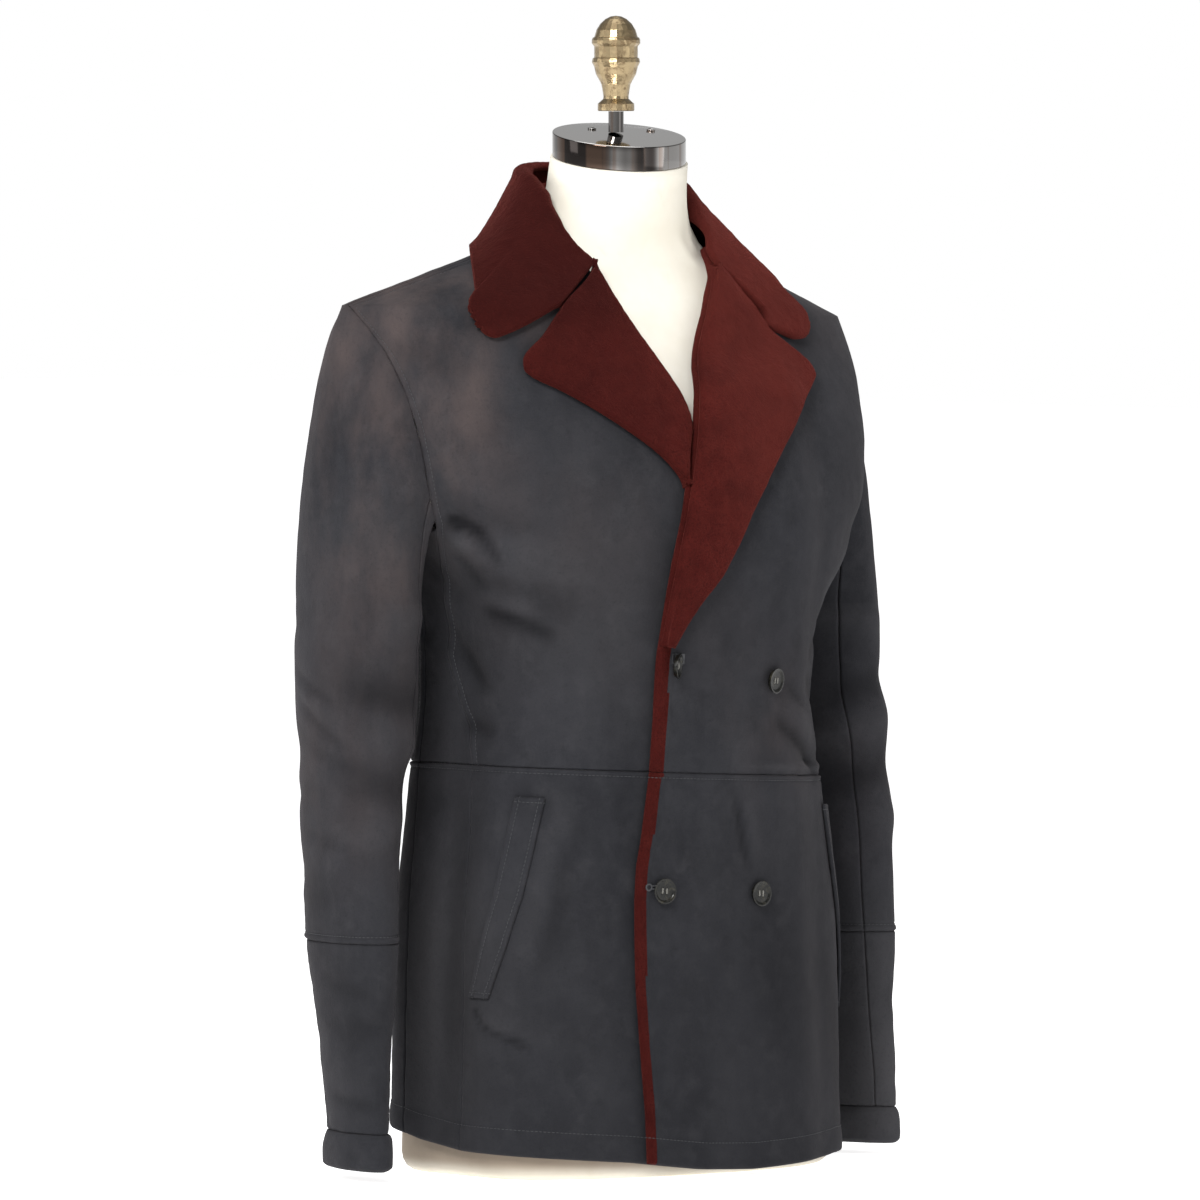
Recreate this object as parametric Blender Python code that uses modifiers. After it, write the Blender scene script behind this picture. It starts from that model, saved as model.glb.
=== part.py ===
"""Double-breasted leather coat (sheepskin, fur side in) on a limbless dress form.

Metres, +Z up.  The form faces -Y and its own left hand would be at +X.
The origin is the centre of the form's flat base, on the floor.

The coat is a set of walls.  All of the body's walls lie on one surface, which
is worked out from BODY_SECTIONS: each level is a front curve, a straight side
under the arm and a back curve.  A place on it is (side, run, height):
  side    +1 left of the wearer, -1 right
  run     0 centre front, 1 front edge of the side, 2 back edge of the side,
          3 centre back
  height  level before the coat's crooked hang is added
What lies on a wall (lapels, collar, pocket welts, buttons) is worked out from
the same surface, moved out.
"""
import math

import bpy
import numpy as np
from mathutils import Matrix

MM = 0.001
SEAM = 0.0003                 # clear space at a seam
WALL = 0.0070                 # skin and shorn fur of the body
SLEEVE_WALL = 0.0055
LAPEL_WALL = 0.0075
COLLAR_WALL = 0.0075
STAND_WALL = 0.0050
WELT_WALL = 0.0025
ROUNDNESS = 2.2               # exponent of the body's front and back curves

RIGHT, LEFT = -1, 1

# The body's outer surface, in mm.
BODY_COLUMNS = ("height", "half_width", "front_y", "side_front_y", "side_back_y", "back_y")
BODY_SECTIONS = (
    (0, 175.5, -131, -42, 44, 124),
    (20, 175, -130, -42, 44, 123),
    (110, 175, -124, -41, 42, 114),
    (200, 173, -120, -40, 40, 107),
    (250, 167, -120, -38, 41, 103),
    (310, 159, -121, -34, 45, 100),
    (370, 153, -123, -29, 45, 101),
    (410, 154, -126, -26, 44, 104),
    (450, 165, -128, -25, 42, 109),
    (475, 179, -129, -24, 40, 112),
    (500, 196, -128, -25, 43, 115),
    (532, 207, -123, -28, 60, 118),
    (569, 214, -111, -26, 69, 118),
    (605, 220, -95, -14, 68, 114),
    (630, 225, -84, 0, 63, 109),
    (648, 229, -76, 17, 56, 104),
    (668, 233, -68, 38, 38, 97),
)
# From the shoulder tip up, the two sides meet in the shoulder seam.
YOKE_SECTIONS = (
    (668, 233, -68, 38, 38, 97),
    (690, 172, -57, 28, 28, 86),
    (705, 130, -49, 20, 20, 77),
    (720, 88, -42, 12, 12, 68),
)
SHOULDER_TIP = 0.668
NECK_SEAM = 0.720
UNDERARM = 0.4950
WAIST_SEAM = 0.3120
# The hem: (run, level in mm); runs are below 0 on the wearer's right.
HEM = ((-3, 27), (-2.3, 25), (-1.8, 16.4), (-1.2, 10.4), (-0.72, 9.1), (-0.28, 8.4),
       (-0.16, 6.6), (-0.05, 5.0), (0.09, 6.2), (0.32, 12.6), (0.6, 19), (1.2, 21), (3, 27))

# The coat hangs lower on the wearer's left: slope of its level lines.
SLOPE_AT_FLOOR = 0.065
SLOPE_LOSS_PER_METRE = 0.053

# Front edges: (height, x) in mm.  Above the break they are the lapels' roll lines.
LEFT_EDGE = ((0, -70), (150, -70), (210, -66), (312, -56), (402, -51), (474, -42), (530, -27),
             (585, -8), (628, 9), (655, 25), (686, 46), (700, 58), (720, 66))
RIGHT_EDGE = ((0, 60), (312, 60), (400, 57), (470, 34), (530, 14), (585, -5), (628, -27),
              (665, -48), (700, -61), (720, -68))
# The left front lies on the right one, moved out by a wall and a seam.
OVERLAP_LIFT = WALL + 2 * SEAM
OVERLAP_FULL_X, OVERLAP_NONE_X = 0.082, 0.125
OVERLAP_FULL_Z, OVERLAP_NONE_Z = 0.600, 0.642

# Lapel outlines: (height, x) in mm, from the break round the tip to the gorge.
LEFT_LAPEL = ((410, -46.5), (434, -39), (475, -5), (515, 24), (555, 61), (592, 101), (614, 127),
              (620, 132), (626, 131), (646, 118), (667.5, 103), (696, 64))
RIGHT_LAPEL = ((537, -31), (557, -50), (580, -82), (604, -122), (615, -144), (620, -148),
               (626, -147), (646, -125), (667.5, -103), (696, -64))
LAPEL_COLUMNS = 10
LAPEL_ROLL = {RIGHT: 0.0007, LEFT: 0.0012}    # a lapel's gap from the front along its roll
LAPEL_REST = 0.0012            # added to the gap beyond the roll
LAPEL_BELLY = 0.0012

# Collar stations from the gorge to the centre back.  The neck and edge places
# are (quarter run, height in mm), a quarter run being 0 centre front, 1 the
# shoulder seam and 2 centre back.  The lift, in mm, is how far the fold stands
# out from, behind and above the neck seam.
COLLAR_COLUMNS = ("neck_run", "neck_z", "lift_out", "lift_back", "lift_up", "edge_run", "edge_z")
COLLAR_STATIONS = (
    (0.266, 701, 0, 0, 0, 0.272, 668.5),
    (0.306, 706, 2, 2, 3, 0.366, 655),
    (0.395, 712, 3, 4, 9, 0.478, 644),
    (0.590, 718, -4, 5, 20, 0.512, 656),
    (0.798, 720, -12, 4, 33, 0.590, 682),
    (1.000, 720, -15, 3, 43, 0.850, 701),
    (1.250, 720, -18, 1, 48, 1.120, 709),
    (1.550, 720, -13, -1, 52, 1.500, 708),
    (2.000, 720, 0, -2, 54, 2.000, 700),
)
COLLAR_LEAN = -5.5               # the fold leans towards the wearer's right, mm
# The fold's lift dies away towards the edge, faster at the front.
FRONT_FALL, BACK_FALL = 2.3, 1.9
LEFT_EDGE_INWARD = 0.11       # the left half's edge lies nearer the neck
COLLAR_REST = 0.0014           # the fall rests this far off the shoulders
STAND_FIRST_STATION = 3.9
STAND_LIFT = 0.0035            # its foot stands this far above the panels' inside

# Slanted pocket welts on the lower fronts: (height mm, run of the front edge,
# run of the back edge).
WELT_ROWS = ((131, 0.865, 0.995), (170, 0.770, 0.925), (212, 0.690, 0.842), (250, 0.655, 0.805),
             (289, 0.622, 0.768))

# The side panel starts this share of the way back along the straight side.
SIDE_SEAM = ((0, 170), (100, 120), (250, 120), (312, 160), (340, 240), (364, 420), (397, 620),
             (437, 550), (461, 440), (484, 150), (495, 40), (500, 0), (720, 0))

# Soft folds: side, run and height of both ends, width and depth in mm.  A
# negative depth is a trough.
FOLD_COLUMNS = ("side", "run_a", "z_a", "run_b", "z_b", "width", "depth")
BODY_FOLDS = (
    (RIGHT, 0.97, 512, 0.55, 492, 15, -3.4),
    (RIGHT, 0.98, 488, 0.50, 470, 16, 3.4),
    (RIGHT, 0.97, 455, 0.48, 438, 13, -2.6),
    (RIGHT, 1.60, 470, 1.00, 432, 12, -2.4),
    (RIGHT, 1.70, 420, 1.00, 385, 12, -2.2),
    (LEFT, 0.97, 512, 0.55, 492, 15, -3.0),
    (LEFT, 0.98, 488, 0.50, 470, 16, 3.0),
    (LEFT, 1.60, 470, 1.00, 432, 12, -2.4),
    (LEFT, 0.62, 395, 0.80, 344, 13, -4.2),
    (LEFT, 0.80, 344, 1.60, 336, 12, -3.4),
    (LEFT, 0.40, 322, 0.95, 322, 9, -2.2),
    (RIGHT, 0.90, 122, 0.50, 96, 13, 2.6),
    (RIGHT, 2.30, 400, 2.90, 372, 16, -2.4),
    (LEFT, 2.30, 400, 2.90, 372, 16, -2.4),
    (RIGHT, 2.20, 520, 2.60, 440, 18, 3.0),
    (LEFT, 2.20, 520, 2.60, 440, 18, 3.0),
)
LOWER_ROWS = 9
SIDE_COLUMNS = 2              # columns of a front panel beyond the straight side's start
YOKE_LEVELS = (SHOULDER_TIP, 0.681, 0.694, 0.707, NECK_SEAM)
FOLD_RADIUS = 0.15            # the body is unrolled on this radius to measure folds

# Sleeve armhole loop: angle round the loop, y, height in mm.  Angle 0 is the
# shoulder tip, 90 the front, 180 the underarm, 270 the back.
ARMHOLE_LOOP = (
    (0, 38, 667), (22, 17, 650), (45, 0, 630), (70, -17, 598), (90, -26.5, 563),
    (112, -28, 531), (135, -26, 504), (160, -12, 496.8), (180, 9, 495.5), (200, 27, 496.2),
    (225, 44, 503), (248, 60, 532), (270, 69, 568), (292, 67, 605), (315, 62, 632),
    (338, 53, 653), (360, 38, 667),
)
ARMHOLE_LAP = 0.0028          # half of the sleeve's wall on each side of the loop

# Free sleeve, in mm: height, centre x and y (left sleeve), half depth front to
# back, half thickness.
SLEEVE_SECTIONS = (
    (440, 218, 46, 74, 41.5),
    (405, 220, 45, 73, 42),
    (370, 221.5, 42, 72, 42),
    (340, 226.5, 39, 68.8, 39.2),
    (318, 230.5, 36.8, 65.4, 35.8),
    (290, 232, 35, 64.5, 34.5),
    (250, 235.5, 32, 62, 31.5),
    (212, 236.5, 30, 61, 30.5),
    (176, 237.5, 27, 59.5, 28.5),
    (140, 238, 24, 57, 24.5),
    (100, 240, 20, 52, 20),
    (65, 241.5, 16, 49.5, 17.5),
    (38, 242, 14, 48, 16),
)
SLEEVE_TOP = 0.440
FOREARM_SEAM = {RIGHT: 0.184, LEFT: 0.176}
CUFF_TOP = 0.0375
CUFF_BOTTOM = 0.0085
SLEEVE_TURN = math.radians(14)     # the front of the sleeve turns outwards
# Lengthwise sleeve seams, by angle: level in mm, front seam, back seam.
SLEEVE_SEAMS = ((667, 122, -62), (440, 127, -58), (300, 128, -46), (176, 129, -42), (0, 130, -40))
CUFF_ROWS = (          # height mm, growth of the section mm
    (37.5, 0.4), (33, 2.6), (22, 4.0), (12, 3.4), (8.5, 1.4),
)
# Folds across the sleeve: level and angle of the middle, half length in
# degrees, slope (mm per degree), width and depth in mm.
SLEEVE_FOLDS = (
    (462, 140, 55, -0.10, 14, -3.2),
    (430, 120, 50, 0.12, 15, 2.8),
    (372, 95, 60, -0.16, 15, -3.0),
    (340, 110, 55, -0.20, 14, 2.8),
    (304, 100, 60, -0.14, 15, -2.6),
    (268, 80, 50, 0.10, 14, 2.2),
    (330, -40, 45, 0.25, 16, -2.6),
    (232, -20, 50, -0.14, 15, -1.8),
    (120, 60, 50, 0.10, 13, -1.6),
    (84, 10, 60, -0.08, 12, 1.6),
)

# Buttons: level and x of the centre, in mm.
BUTTONS = {
    "button_upper_edge": (396, -45),
    "button_upper_outer": (386, 53),
    "button_lower_edge": (220, -51),
    "button_lower_outer": (220, 41.5),
}
BUTTON_RADIUS = 0.0102
BUTTON_HEIGHT = 0.0038

# The dress form stays this far inside the coat: (height, clearance) in mm.
FORM_CLEARANCE = ((0, 1.4), (110, 3.0), (200, 6), (340, 9), (430, 6.5), (500, 4.5), (600, 1.8),
                  (640, 1.3), (730, 1.0))
FORM_FOOT_ROWS = ((0, 16.0), (1.5, 9.5), (5, 4.6), (10, 1.6), (16, 0.3))   # level, inset
NECK_INSET = 0.0040           # the torso's last ring stands this much further in
NECK_ROWS = (          # height, half width, half depth, centre y, mm
    (721, 73, 46, 6.5), (732, 65, 49, 3), (747, 60.5, 51, 0), (764, 58, 51.5, -2),
    (786, 56, 49.5, -4),
)
NECK_SLANT_Y, NECK_SLANT_X = math.radians(10.5), math.radians(-2.3)
CAP_HEIGHT = 0.0192
CAP_HALF_WIDTH, CAP_HALF_DEPTH = 0.0545, 0.0480
ROD_RADIUS = 0.0060
ROD_PLACE = (0.0, 0.0)
FINIAL_BOTTOM = 0.8240
# Finial outline from the top down: height above its bottom and radius, mm.
FINIAL_OUTLINE = (
    (74.2, 0), (73.6, 4.2), (71.6, 8.2), (68.0, 12.2), (63.2, 15.2), (57.6, 16.9),
    (57.0, 18.2), (55.2, 18.9), (52.6, 18.9), (50.2, 17.0),
    (41.6, 17.0), (41.0, 18.2), (38.0, 18.8), (34.4, 17.0),
    (28.6, 15.6), (23.2, 12.6), (20.6, 11.3), (11.6, 9.8), (9.4, 10.0),
    (5.6, 14.2), (0.6, 14.3), (0.0, 13.8), (0.0, 0),
)

SUEDE = ("suede", (0.048, 0.050, 0.058), 0.85, 0.0)
FUR = ("burgundy_fur", (0.11, 0.016, 0.014), 0.9, 0.0)
HORN = ("horn", (0.035, 0.034, 0.026), 0.3, 0.0)
LINEN = ("cream_cloth", (0.78, 0.71, 0.58), 0.85, 0.0)
CHROME = ("chrome", (0.72, 0.72, 0.72), 0.08, 1.0)
BRASS = ("brass", (0.55, 0.38, 0.14), 0.4, 1.0)


# ---------------------------------------------------------------- tables

def smooth_columns(rows):
    """Function of the first column that reads the others without overshoot."""
    data = np.asarray(rows, dtype=float) * MM
    at, values = data[:, 0], data[:, 1:]
    step = np.diff(at)[:, None]
    slope = np.diff(values, axis=0) / step
    tangent = np.zeros_like(values)
    tangent[0], tangent[-1] = slope[0], slope[-1]
    before, after = slope[:-1], slope[1:]
    weight_a = 2 * step[1:] + step[:-1]
    weight_b = step[1:] + 2 * step[:-1]
    same_way = before * after > 0
    safe_before = np.where(same_way, before, 1.0)
    safe_after = np.where(same_way, after, 1.0)
    mean = (weight_a + weight_b) / (weight_a / safe_before + weight_b / safe_after)
    tangent[1:-1] = np.where(same_way, mean, 0.0)

    def read(x):
        x = np.clip(np.asarray(x, dtype=float), at[0], at[-1])
        i = np.clip(np.searchsorted(at, x, side="right") - 1, 0, len(at) - 2)
        h = (at[i + 1] - at[i])[..., None]
        t = ((x - at[i])[..., None]) / h
        return (values[i] * (1 + 2 * t) * (1 - t) ** 2 + tangent[i] * h * t * (1 - t) ** 2
                + values[i + 1] * t * t * (3 - 2 * t) + tangent[i + 1] * h * t * t * (t - 1))
    return read


def line_of(rows):
    """Function of a height in metres that reads (height, value) rows in mm."""
    data = np.asarray(rows, dtype=float) * MM
    return lambda z: np.interp(z, data[:, 0], data[:, 1])


def ramp(x, start, end):
    """0 before start, 1 after end, smooth between; start may exceed end."""
    t = np.clip((np.asarray(x, dtype=float) - start) / (end - start), 0, 1)
    return t * t * (3 - 2 * t)


body_row = smooth_columns(BODY_SECTIONS)
yoke_row = smooth_columns(YOKE_SECTIONS)
sleeve_row = smooth_columns(sorted(SLEEVE_SECTIONS))
left_edge_x = line_of(LEFT_EDGE)
right_edge_x = line_of(RIGHT_EDGE)
form_clearance = line_of(FORM_CLEARANCE)
side_seam = line_of(SIDE_SEAM)
SEAM_ROWS = np.asarray(sorted(SLEEVE_SEAMS), dtype=float)


def section(z):
    """half_width, front_y, side_front_y, side_back_y, back_y at a height."""
    z = np.asarray(z, dtype=float)
    row = np.where((z >= SHOULDER_TIP)[..., None], yoke_row(z), body_row(z))
    return [row[..., i] for i in range(5)]


# ---------------------------------------------------------------- body surface

def bare_point(side, run, z, ridge=SEAM * 0.7):
    """Point of the body's surface without folds; ridge parts front and back."""
    side, run, z = np.broadcast_arrays(np.asarray(side, float), run, z)
    half, front, side_front, side_back, back = section(z)
    on_yoke = np.where(z >= SHOULDER_TIP, ridge, 0.0)
    side_front = side_front - on_yoke
    side_back = side_back + on_yoke
    power = 2 / ROUNDNESS
    turn_front = np.clip(run, 0, 1) * math.pi / 2
    turn_back = np.clip(3 - run, 0, 1) * math.pi / 2
    turn = np.where(run <= 1.5, turn_front, turn_back)
    x = side * half * np.abs(np.sin(turn)) ** power
    y_front = side_front - (side_front - front) * np.abs(np.cos(turn_front)) ** power
    y_back = side_back + (back - side_back) * np.abs(np.cos(turn_back)) ** power
    along = np.clip(run - 1, 0, 1)
    y_side = side_front + (side_back - side_front) * along
    y = np.where(run <= 1, y_front, np.where(run >= 2, y_back, y_side))
    return np.stack([x, y, z], axis=-1)


def fold_depth(side, run, z):
    """Outward move of the folds at a place of the body."""
    point = bare_point(side, run, z)
    bearing = np.arctan2(point[..., 0], -point[..., 1])
    depth = np.zeros(np.shape(bearing))
    for fold in BODY_FOLDS:
        row = dict(zip(FOLD_COLUMNS, fold))
        ends = bare_point(row["side"], np.array([row["run_a"], row["run_b"]]),
                          np.array([row["z_a"], row["z_b"]]) * MM)
        end_bearing = np.arctan2(ends[:, 0], -ends[:, 1])
        a = np.array([end_bearing[0] * FOLD_RADIUS, row["z_a"] * MM])
        b = np.array([end_bearing[1] * FOLD_RADIUS, row["z_b"] * MM])
        place = np.stack([bearing * FOLD_RADIUS, np.broadcast_to(z, bearing.shape)], axis=-1)
        length = np.linalg.norm(b - a)
        way = (b - a) / length
        along = (place - a) @ way
        across = (place - a) @ np.array([-way[1], way[0]])
        inside = ramp(along, -0.3 * length, 0.3 * length) * ramp(along, 1.3 * length, 0.7 * length)
        depth += row["depth"] * MM * inside * np.exp(-(across / (row["width"] * MM)) ** 2)
    at_sleeve = ramp(z, 0.470, 0.497) * ramp(run, 0.90, 0.98) * ramp(run, 2.12, 2.02)
    return depth * (1 - at_sleeve)


def surface(side, run, z, out=0.0, ridge=SEAM * 0.7):
    """Point moved out from the body's surface along its normal, and the normal."""
    side, run, z = np.broadcast_arrays(np.asarray(side, float), run, z)
    step_run, step_z = 0.004, 0.0006
    low = np.where(run > 2, np.maximum(run - step_run, 2.0), np.maximum(run - step_run, 0.0))
    low = np.where((run > 1) & (run <= 2), np.maximum(run - step_run, 1.0), low)
    high = np.where(run < 1, np.minimum(run + step_run, 1.0), np.minimum(run + step_run, 3.0))
    high = np.where((run >= 1) & (run < 2), np.minimum(run + step_run, 2.0), high)
    low = np.where((run == 1.0), 1.0 - step_run, low)
    high = np.where((run == 1.0), 1.0, high)
    along = bare_point(side, high, z, ridge) - bare_point(side, low, z, ridge)
    up = bare_point(side, run, z + step_z, ridge) - bare_point(side, run, z - step_z, ridge)
    normal = np.cross(along, up) * side[..., None]
    normal /= np.linalg.norm(normal, axis=-1, keepdims=True)
    move = np.asarray(out) + fold_depth(side, run, z)
    return bare_point(side, run, z, ridge) + normal * np.asarray(move)[..., None], normal


def run_at_x(x, z):
    """Front run (0 to 1) whose point has this |x|."""
    half = section(z)[0]
    share = np.clip(np.abs(x) / half, 0, 1) ** (ROUNDNESS / 2)
    return np.arcsin(share) * 2 / math.pi


def front_place(x, z, out):
    """Point on the front at (x, z), moved out."""
    point, _ = surface(np.where(np.asarray(x) < 0, -1.0, 1.0), run_at_x(x, z), z, out)
    return point


def overlap_lift(x, z):
    """How far the left front is moved out over the right one."""
    return OVERLAP_LIFT * ramp(x, OVERLAP_NONE_X, OVERLAP_FULL_X) * ramp(
        z, OVERLAP_NONE_Z, OVERLAP_FULL_Z)


def hang(points, share=1.0):
    """Adds the coat's crooked hang: level lines drop to the wearer's left."""
    points = np.array(points)
    slope = SLOPE_AT_FLOOR - SLOPE_LOSS_PER_METRE * points[..., 2]
    points[..., 2] -= slope * share * points[..., 0]
    return points


# ---------------------------------------------------------------- objects

def make_material(finish):
    name, colour, roughness, metallic = finish
    material = bpy.data.materials.get(name) or bpy.data.materials.new(name)
    material.use_nodes = True
    shader = material.node_tree.nodes["Principled BSDF"]
    shader.inputs["Base Color"].default_value = (*colour, 1.0)
    shader.inputs["Roughness"].default_value = roughness
    shader.inputs["Metallic"].default_value = metallic
    return material


def add_object(name, points, faces, finish):
    """Closed body from a loft's points and faces, with its faces pointing out."""
    mesh = bpy.data.meshes.new(name)
    mesh.from_pydata([tuple(p) for p in points], [], faces)
    corners = np.asarray(points)
    volume = 0.0
    for face in faces:
        a = corners[face[0]]
        for b, c in zip(face[1:-1], face[2:]):
            volume += float(np.dot(a, np.cross(corners[b], corners[c])))
    if volume < 0:
        mesh.flip_normals()
    mesh.materials.append(make_material(finish))
    for polygon in mesh.polygons:
        polygon.use_smooth = True
    mesh.set_sharp_from_angle(angle=math.radians(40))
    obj = bpy.data.objects.new(name, mesh)
    parts.objects.link(obj)
    return obj


def add_wall(name, outer, inner, finish, closed=False):
    """Wall between two grids of points (rows, columns); closed joins the columns."""
    rows, columns = outer.shape[:2]
    points = np.concatenate([outer.reshape(-1, 3), inner.reshape(-1, 3)])
    inside = rows * columns

    def at(layer, row, column):
        return layer * inside + row * columns + column % columns

    faces = []
    spans = columns if closed else columns - 1
    for row in range(rows - 1):
        for column in range(spans):
            quad = ((row, column), (row, column + 1), (row + 1, column + 1), (row + 1, column))
            faces.append([at(0, r, c) for r, c in quad])
            faces.append([at(1, r, c) for r, c in reversed(quad)])
    for column in range(spans):
        faces.append([at(0, 0, column + 1), at(0, 0, column), at(1, 0, column),
                      at(1, 0, column + 1)])
        last = rows - 1
        faces.append([at(0, last, column), at(0, last, column + 1), at(1, last, column + 1),
                      at(1, last, column)])
    if not closed:
        last = columns - 1
        for row in range(rows - 1):
            faces.append([at(0, row, 0), at(0, row + 1, 0), at(1, row + 1, 0), at(1, row, 0)])
            faces.append([at(0, row + 1, last), at(0, row, last), at(1, row, last),
                          at(1, row + 1, last)])
    return add_object(name, points, faces, finish)


def spread(low, high, count):
    return np.linspace(low, high, count)


def levels(low, high, step, extra=()):
    """Row heights from low to high about a step apart, passing by the extra ones."""
    stops = sorted({low, high, *[e for e in extra if low < e < high]})
    rows = []
    for a, b in zip(stops[:-1], stops[1:]):
        count = max(1, round((b - a) / step))
        rows += list(np.linspace(a, b, count + 1)[:-1])
    return np.array(rows + [high])


# ---------------------------------------------------------------- coat body

def upper_levels():
    """Rows of the upper panels; the shoulders have closer ones."""
    chest = levels(WAIST_SEAM + SEAM / 2, SHOULDER_TIP, 0.0265, (UNDERARM, 0.532, 0.642))
    return np.concatenate([chest, YOKE_LEVELS[1:]])


def body_wall(name, side, z, runs, lift=None, wall=WALL, finish=SUEDE, under=0.0):
    """Wall on the body's surface: rows of heights, runs as a (rows, columns) grid."""
    z_grid = np.broadcast_to(np.asarray(z)[:, None] if np.ndim(z) == 1 else z, runs.shape)
    side_grid = np.broadcast_to(np.asarray(side, float), runs.shape)
    extra = 0.0 if lift is None else lift(side_grid, runs, z_grid)
    outer, _ = surface(side_grid, runs, z_grid, extra + under)
    inner, _ = surface(side_grid, runs, z_grid, extra + under - wall)
    return add_wall(name, hang(outer), hang(inner), finish)


def front_grid(side, z, edge_x, columns):
    """Runs and sides from a front edge (which may cross the centre) to the side."""
    x_edge = edge_x(z)
    start = np.where(np.sign(x_edge) == side, 1, -1) * run_at_x(x_edge, z)
    share = spread(0, 1, columns - SIDE_COLUMNS)
    runs = start[:, None] + (1 - start[:, None]) * share[None, :]
    beyond = side_seam(z)[:, None] * spread(0, 1, SIDE_COLUMNS + 1)[None, 1:]
    least = 0.001 * spread(0, 1, SIDE_COLUMNS + 1)[None, 1:]
    runs = np.concatenate([runs, 1 + np.maximum(beyond, least)], axis=1)
    sides = np.where(runs < 0, -side, side).astype(float)
    return np.abs(runs), sides


def left_lift(sides, runs, z):
    x = bare_point(sides, runs, z)[..., 0]
    return overlap_lift(x, z)


def make_fronts():
    """Upper and lower fronts; the left one is moved out over the right one."""
    upper = upper_levels()
    for side, word, edge, lift in ((RIGHT, "right", right_edge_x, None),
                                   (LEFT, "left", left_edge_x, left_lift)):
        runs, sides = front_grid(side, upper, edge, 16)
        body_wall("front_upper_" + word, sides, upper, runs, lift)
        flat = WAIST_SEAM - (WAIST_SEAM - 0.010) * np.linspace(0, 1, LOWER_ROWS)
        runs, sides = front_grid(side, flat, edge, 15)
        body_wall("front_lower_" + word, sides, lower_levels(sides, runs), runs, lift)


def lower_levels(sides, runs):
    """Heights of a lower panel's rows, from the waist seam down to the hem."""
    share = np.linspace(0, 1, LOWER_ROWS)[:, None]
    hem = np.interp(sides * runs, [row[0] for row in HEM], [row[1] for row in HEM]) * MM
    waist = WAIST_SEAM - SEAM / 2
    return waist - (waist - hem) * share


def make_sides():
    """Side panels under the arms, above and below the waist seam."""
    upper = upper_levels()
    upper = upper[upper < UNDERARM + 0.0001]
    upper[-1] = UNDERARM - SEAM
    lower = WAIST_SEAM - (WAIST_SEAM - 0.010) * np.linspace(0, 1, LOWER_ROWS)
    for side, word in ((RIGHT, "right"), (LEFT, "left")):
        for level, z in (("upper", upper), ("lower", lower)):
            _, _, front, back, _ = section(z)
            gap = SEAM * 1.2 / (back - front)
            start = side_seam(z) + gap
            runs = 1 + start[:, None] + (1 - gap - start)[:, None] * spread(0, 1, 4)[None, :]
            if level == "lower":
                z = lower_levels(side, runs)
            body_wall("side_%s_%s" % (level, word), side, z, runs)


def make_back():
    """The back, in one width from armhole to armhole, above and below the waist."""
    across = spread(-1, 1, 19)
    for level in ("upper", "lower"):
        z = upper_levels() if level == "upper" else np.zeros(LOWER_ROWS)
        runs = np.broadcast_to(3 - np.abs(across)[None, :], (len(z), len(across)))
        sides = np.broadcast_to(np.where(across < 0, -1.0, 1.0)[None, :], runs.shape)
        z = z if level == "upper" else lower_levels(sides, runs)
        body_wall("back_" + level, sides, z, runs)


def lapel_rows(outline, edge_x, limit=None):
    """Heights and the x of both edges of a lapel, from its break to the gorge."""
    data = np.asarray(outline, dtype=float) * MM
    z = data[:, 0]
    inner = edge_x(z)
    if limit is not None:
        inner = np.minimum(inner, limit(z) - 1.2 * MM)
    return z, inner, data[:, 1]


def make_lapels():
    """Lapels folded out on the fronts, fur side up."""
    for side, word, outline, edge, limit in (
            (LEFT, "left", LEFT_LAPEL, left_edge_x, None),
            (RIGHT, "right", RIGHT_LAPEL, right_edge_x, left_edge_x)):
        z, inner_x, outer_x = lapel_rows(outline, edge, limit)
        share = spread(0, 1, LAPEL_COLUMNS)[None, :]
        x = inner_x[:, None] + (outer_x - inner_x)[:, None] * share
        z_grid = np.broadcast_to(z[:, None], x.shape)
        lift = overlap_lift(x, z_grid) if side == LEFT else 0.0
        beyond_roll = ramp(share, 0, 0.12)
        belly = LAPEL_ROLL[side] + (LAPEL_REST + LAPEL_BELLY * np.sin(np.pi * share)) * beyond_roll
        low = front_place(x, z_grid, lift + belly)
        high = front_place(x, z_grid, lift + belly + LAPEL_WALL)
        add_wall("lapel_" + word, hang(high), hang(low), FUR)


def quarter_run(value):
    """Turns a quarter run (1 at the shoulder seam) into a run of the surface."""
    return np.where(value > 1, value + 1, value)


def collar_table(stations):
    """Station values at fractional station numbers."""
    data = np.asarray(COLLAR_STATIONS, dtype=float)
    number = np.arange(len(data))
    return {name: np.interp(stations, number, data[:, i])
            for i, name in enumerate(COLLAR_COLUMNS)}


def collar_lift(row, side):
    """Vector from the neck seam up to the fold."""
    lean = COLLAR_LEAN * ramp(row["neck_run"], 0.26, 0.33) * ramp(row["neck_run"], 0.95, 0.6)
    across = row["lift_out"] * side + lean
    return np.stack([across, row["lift_back"], row["lift_up"]], axis=-1) * MM


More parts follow.
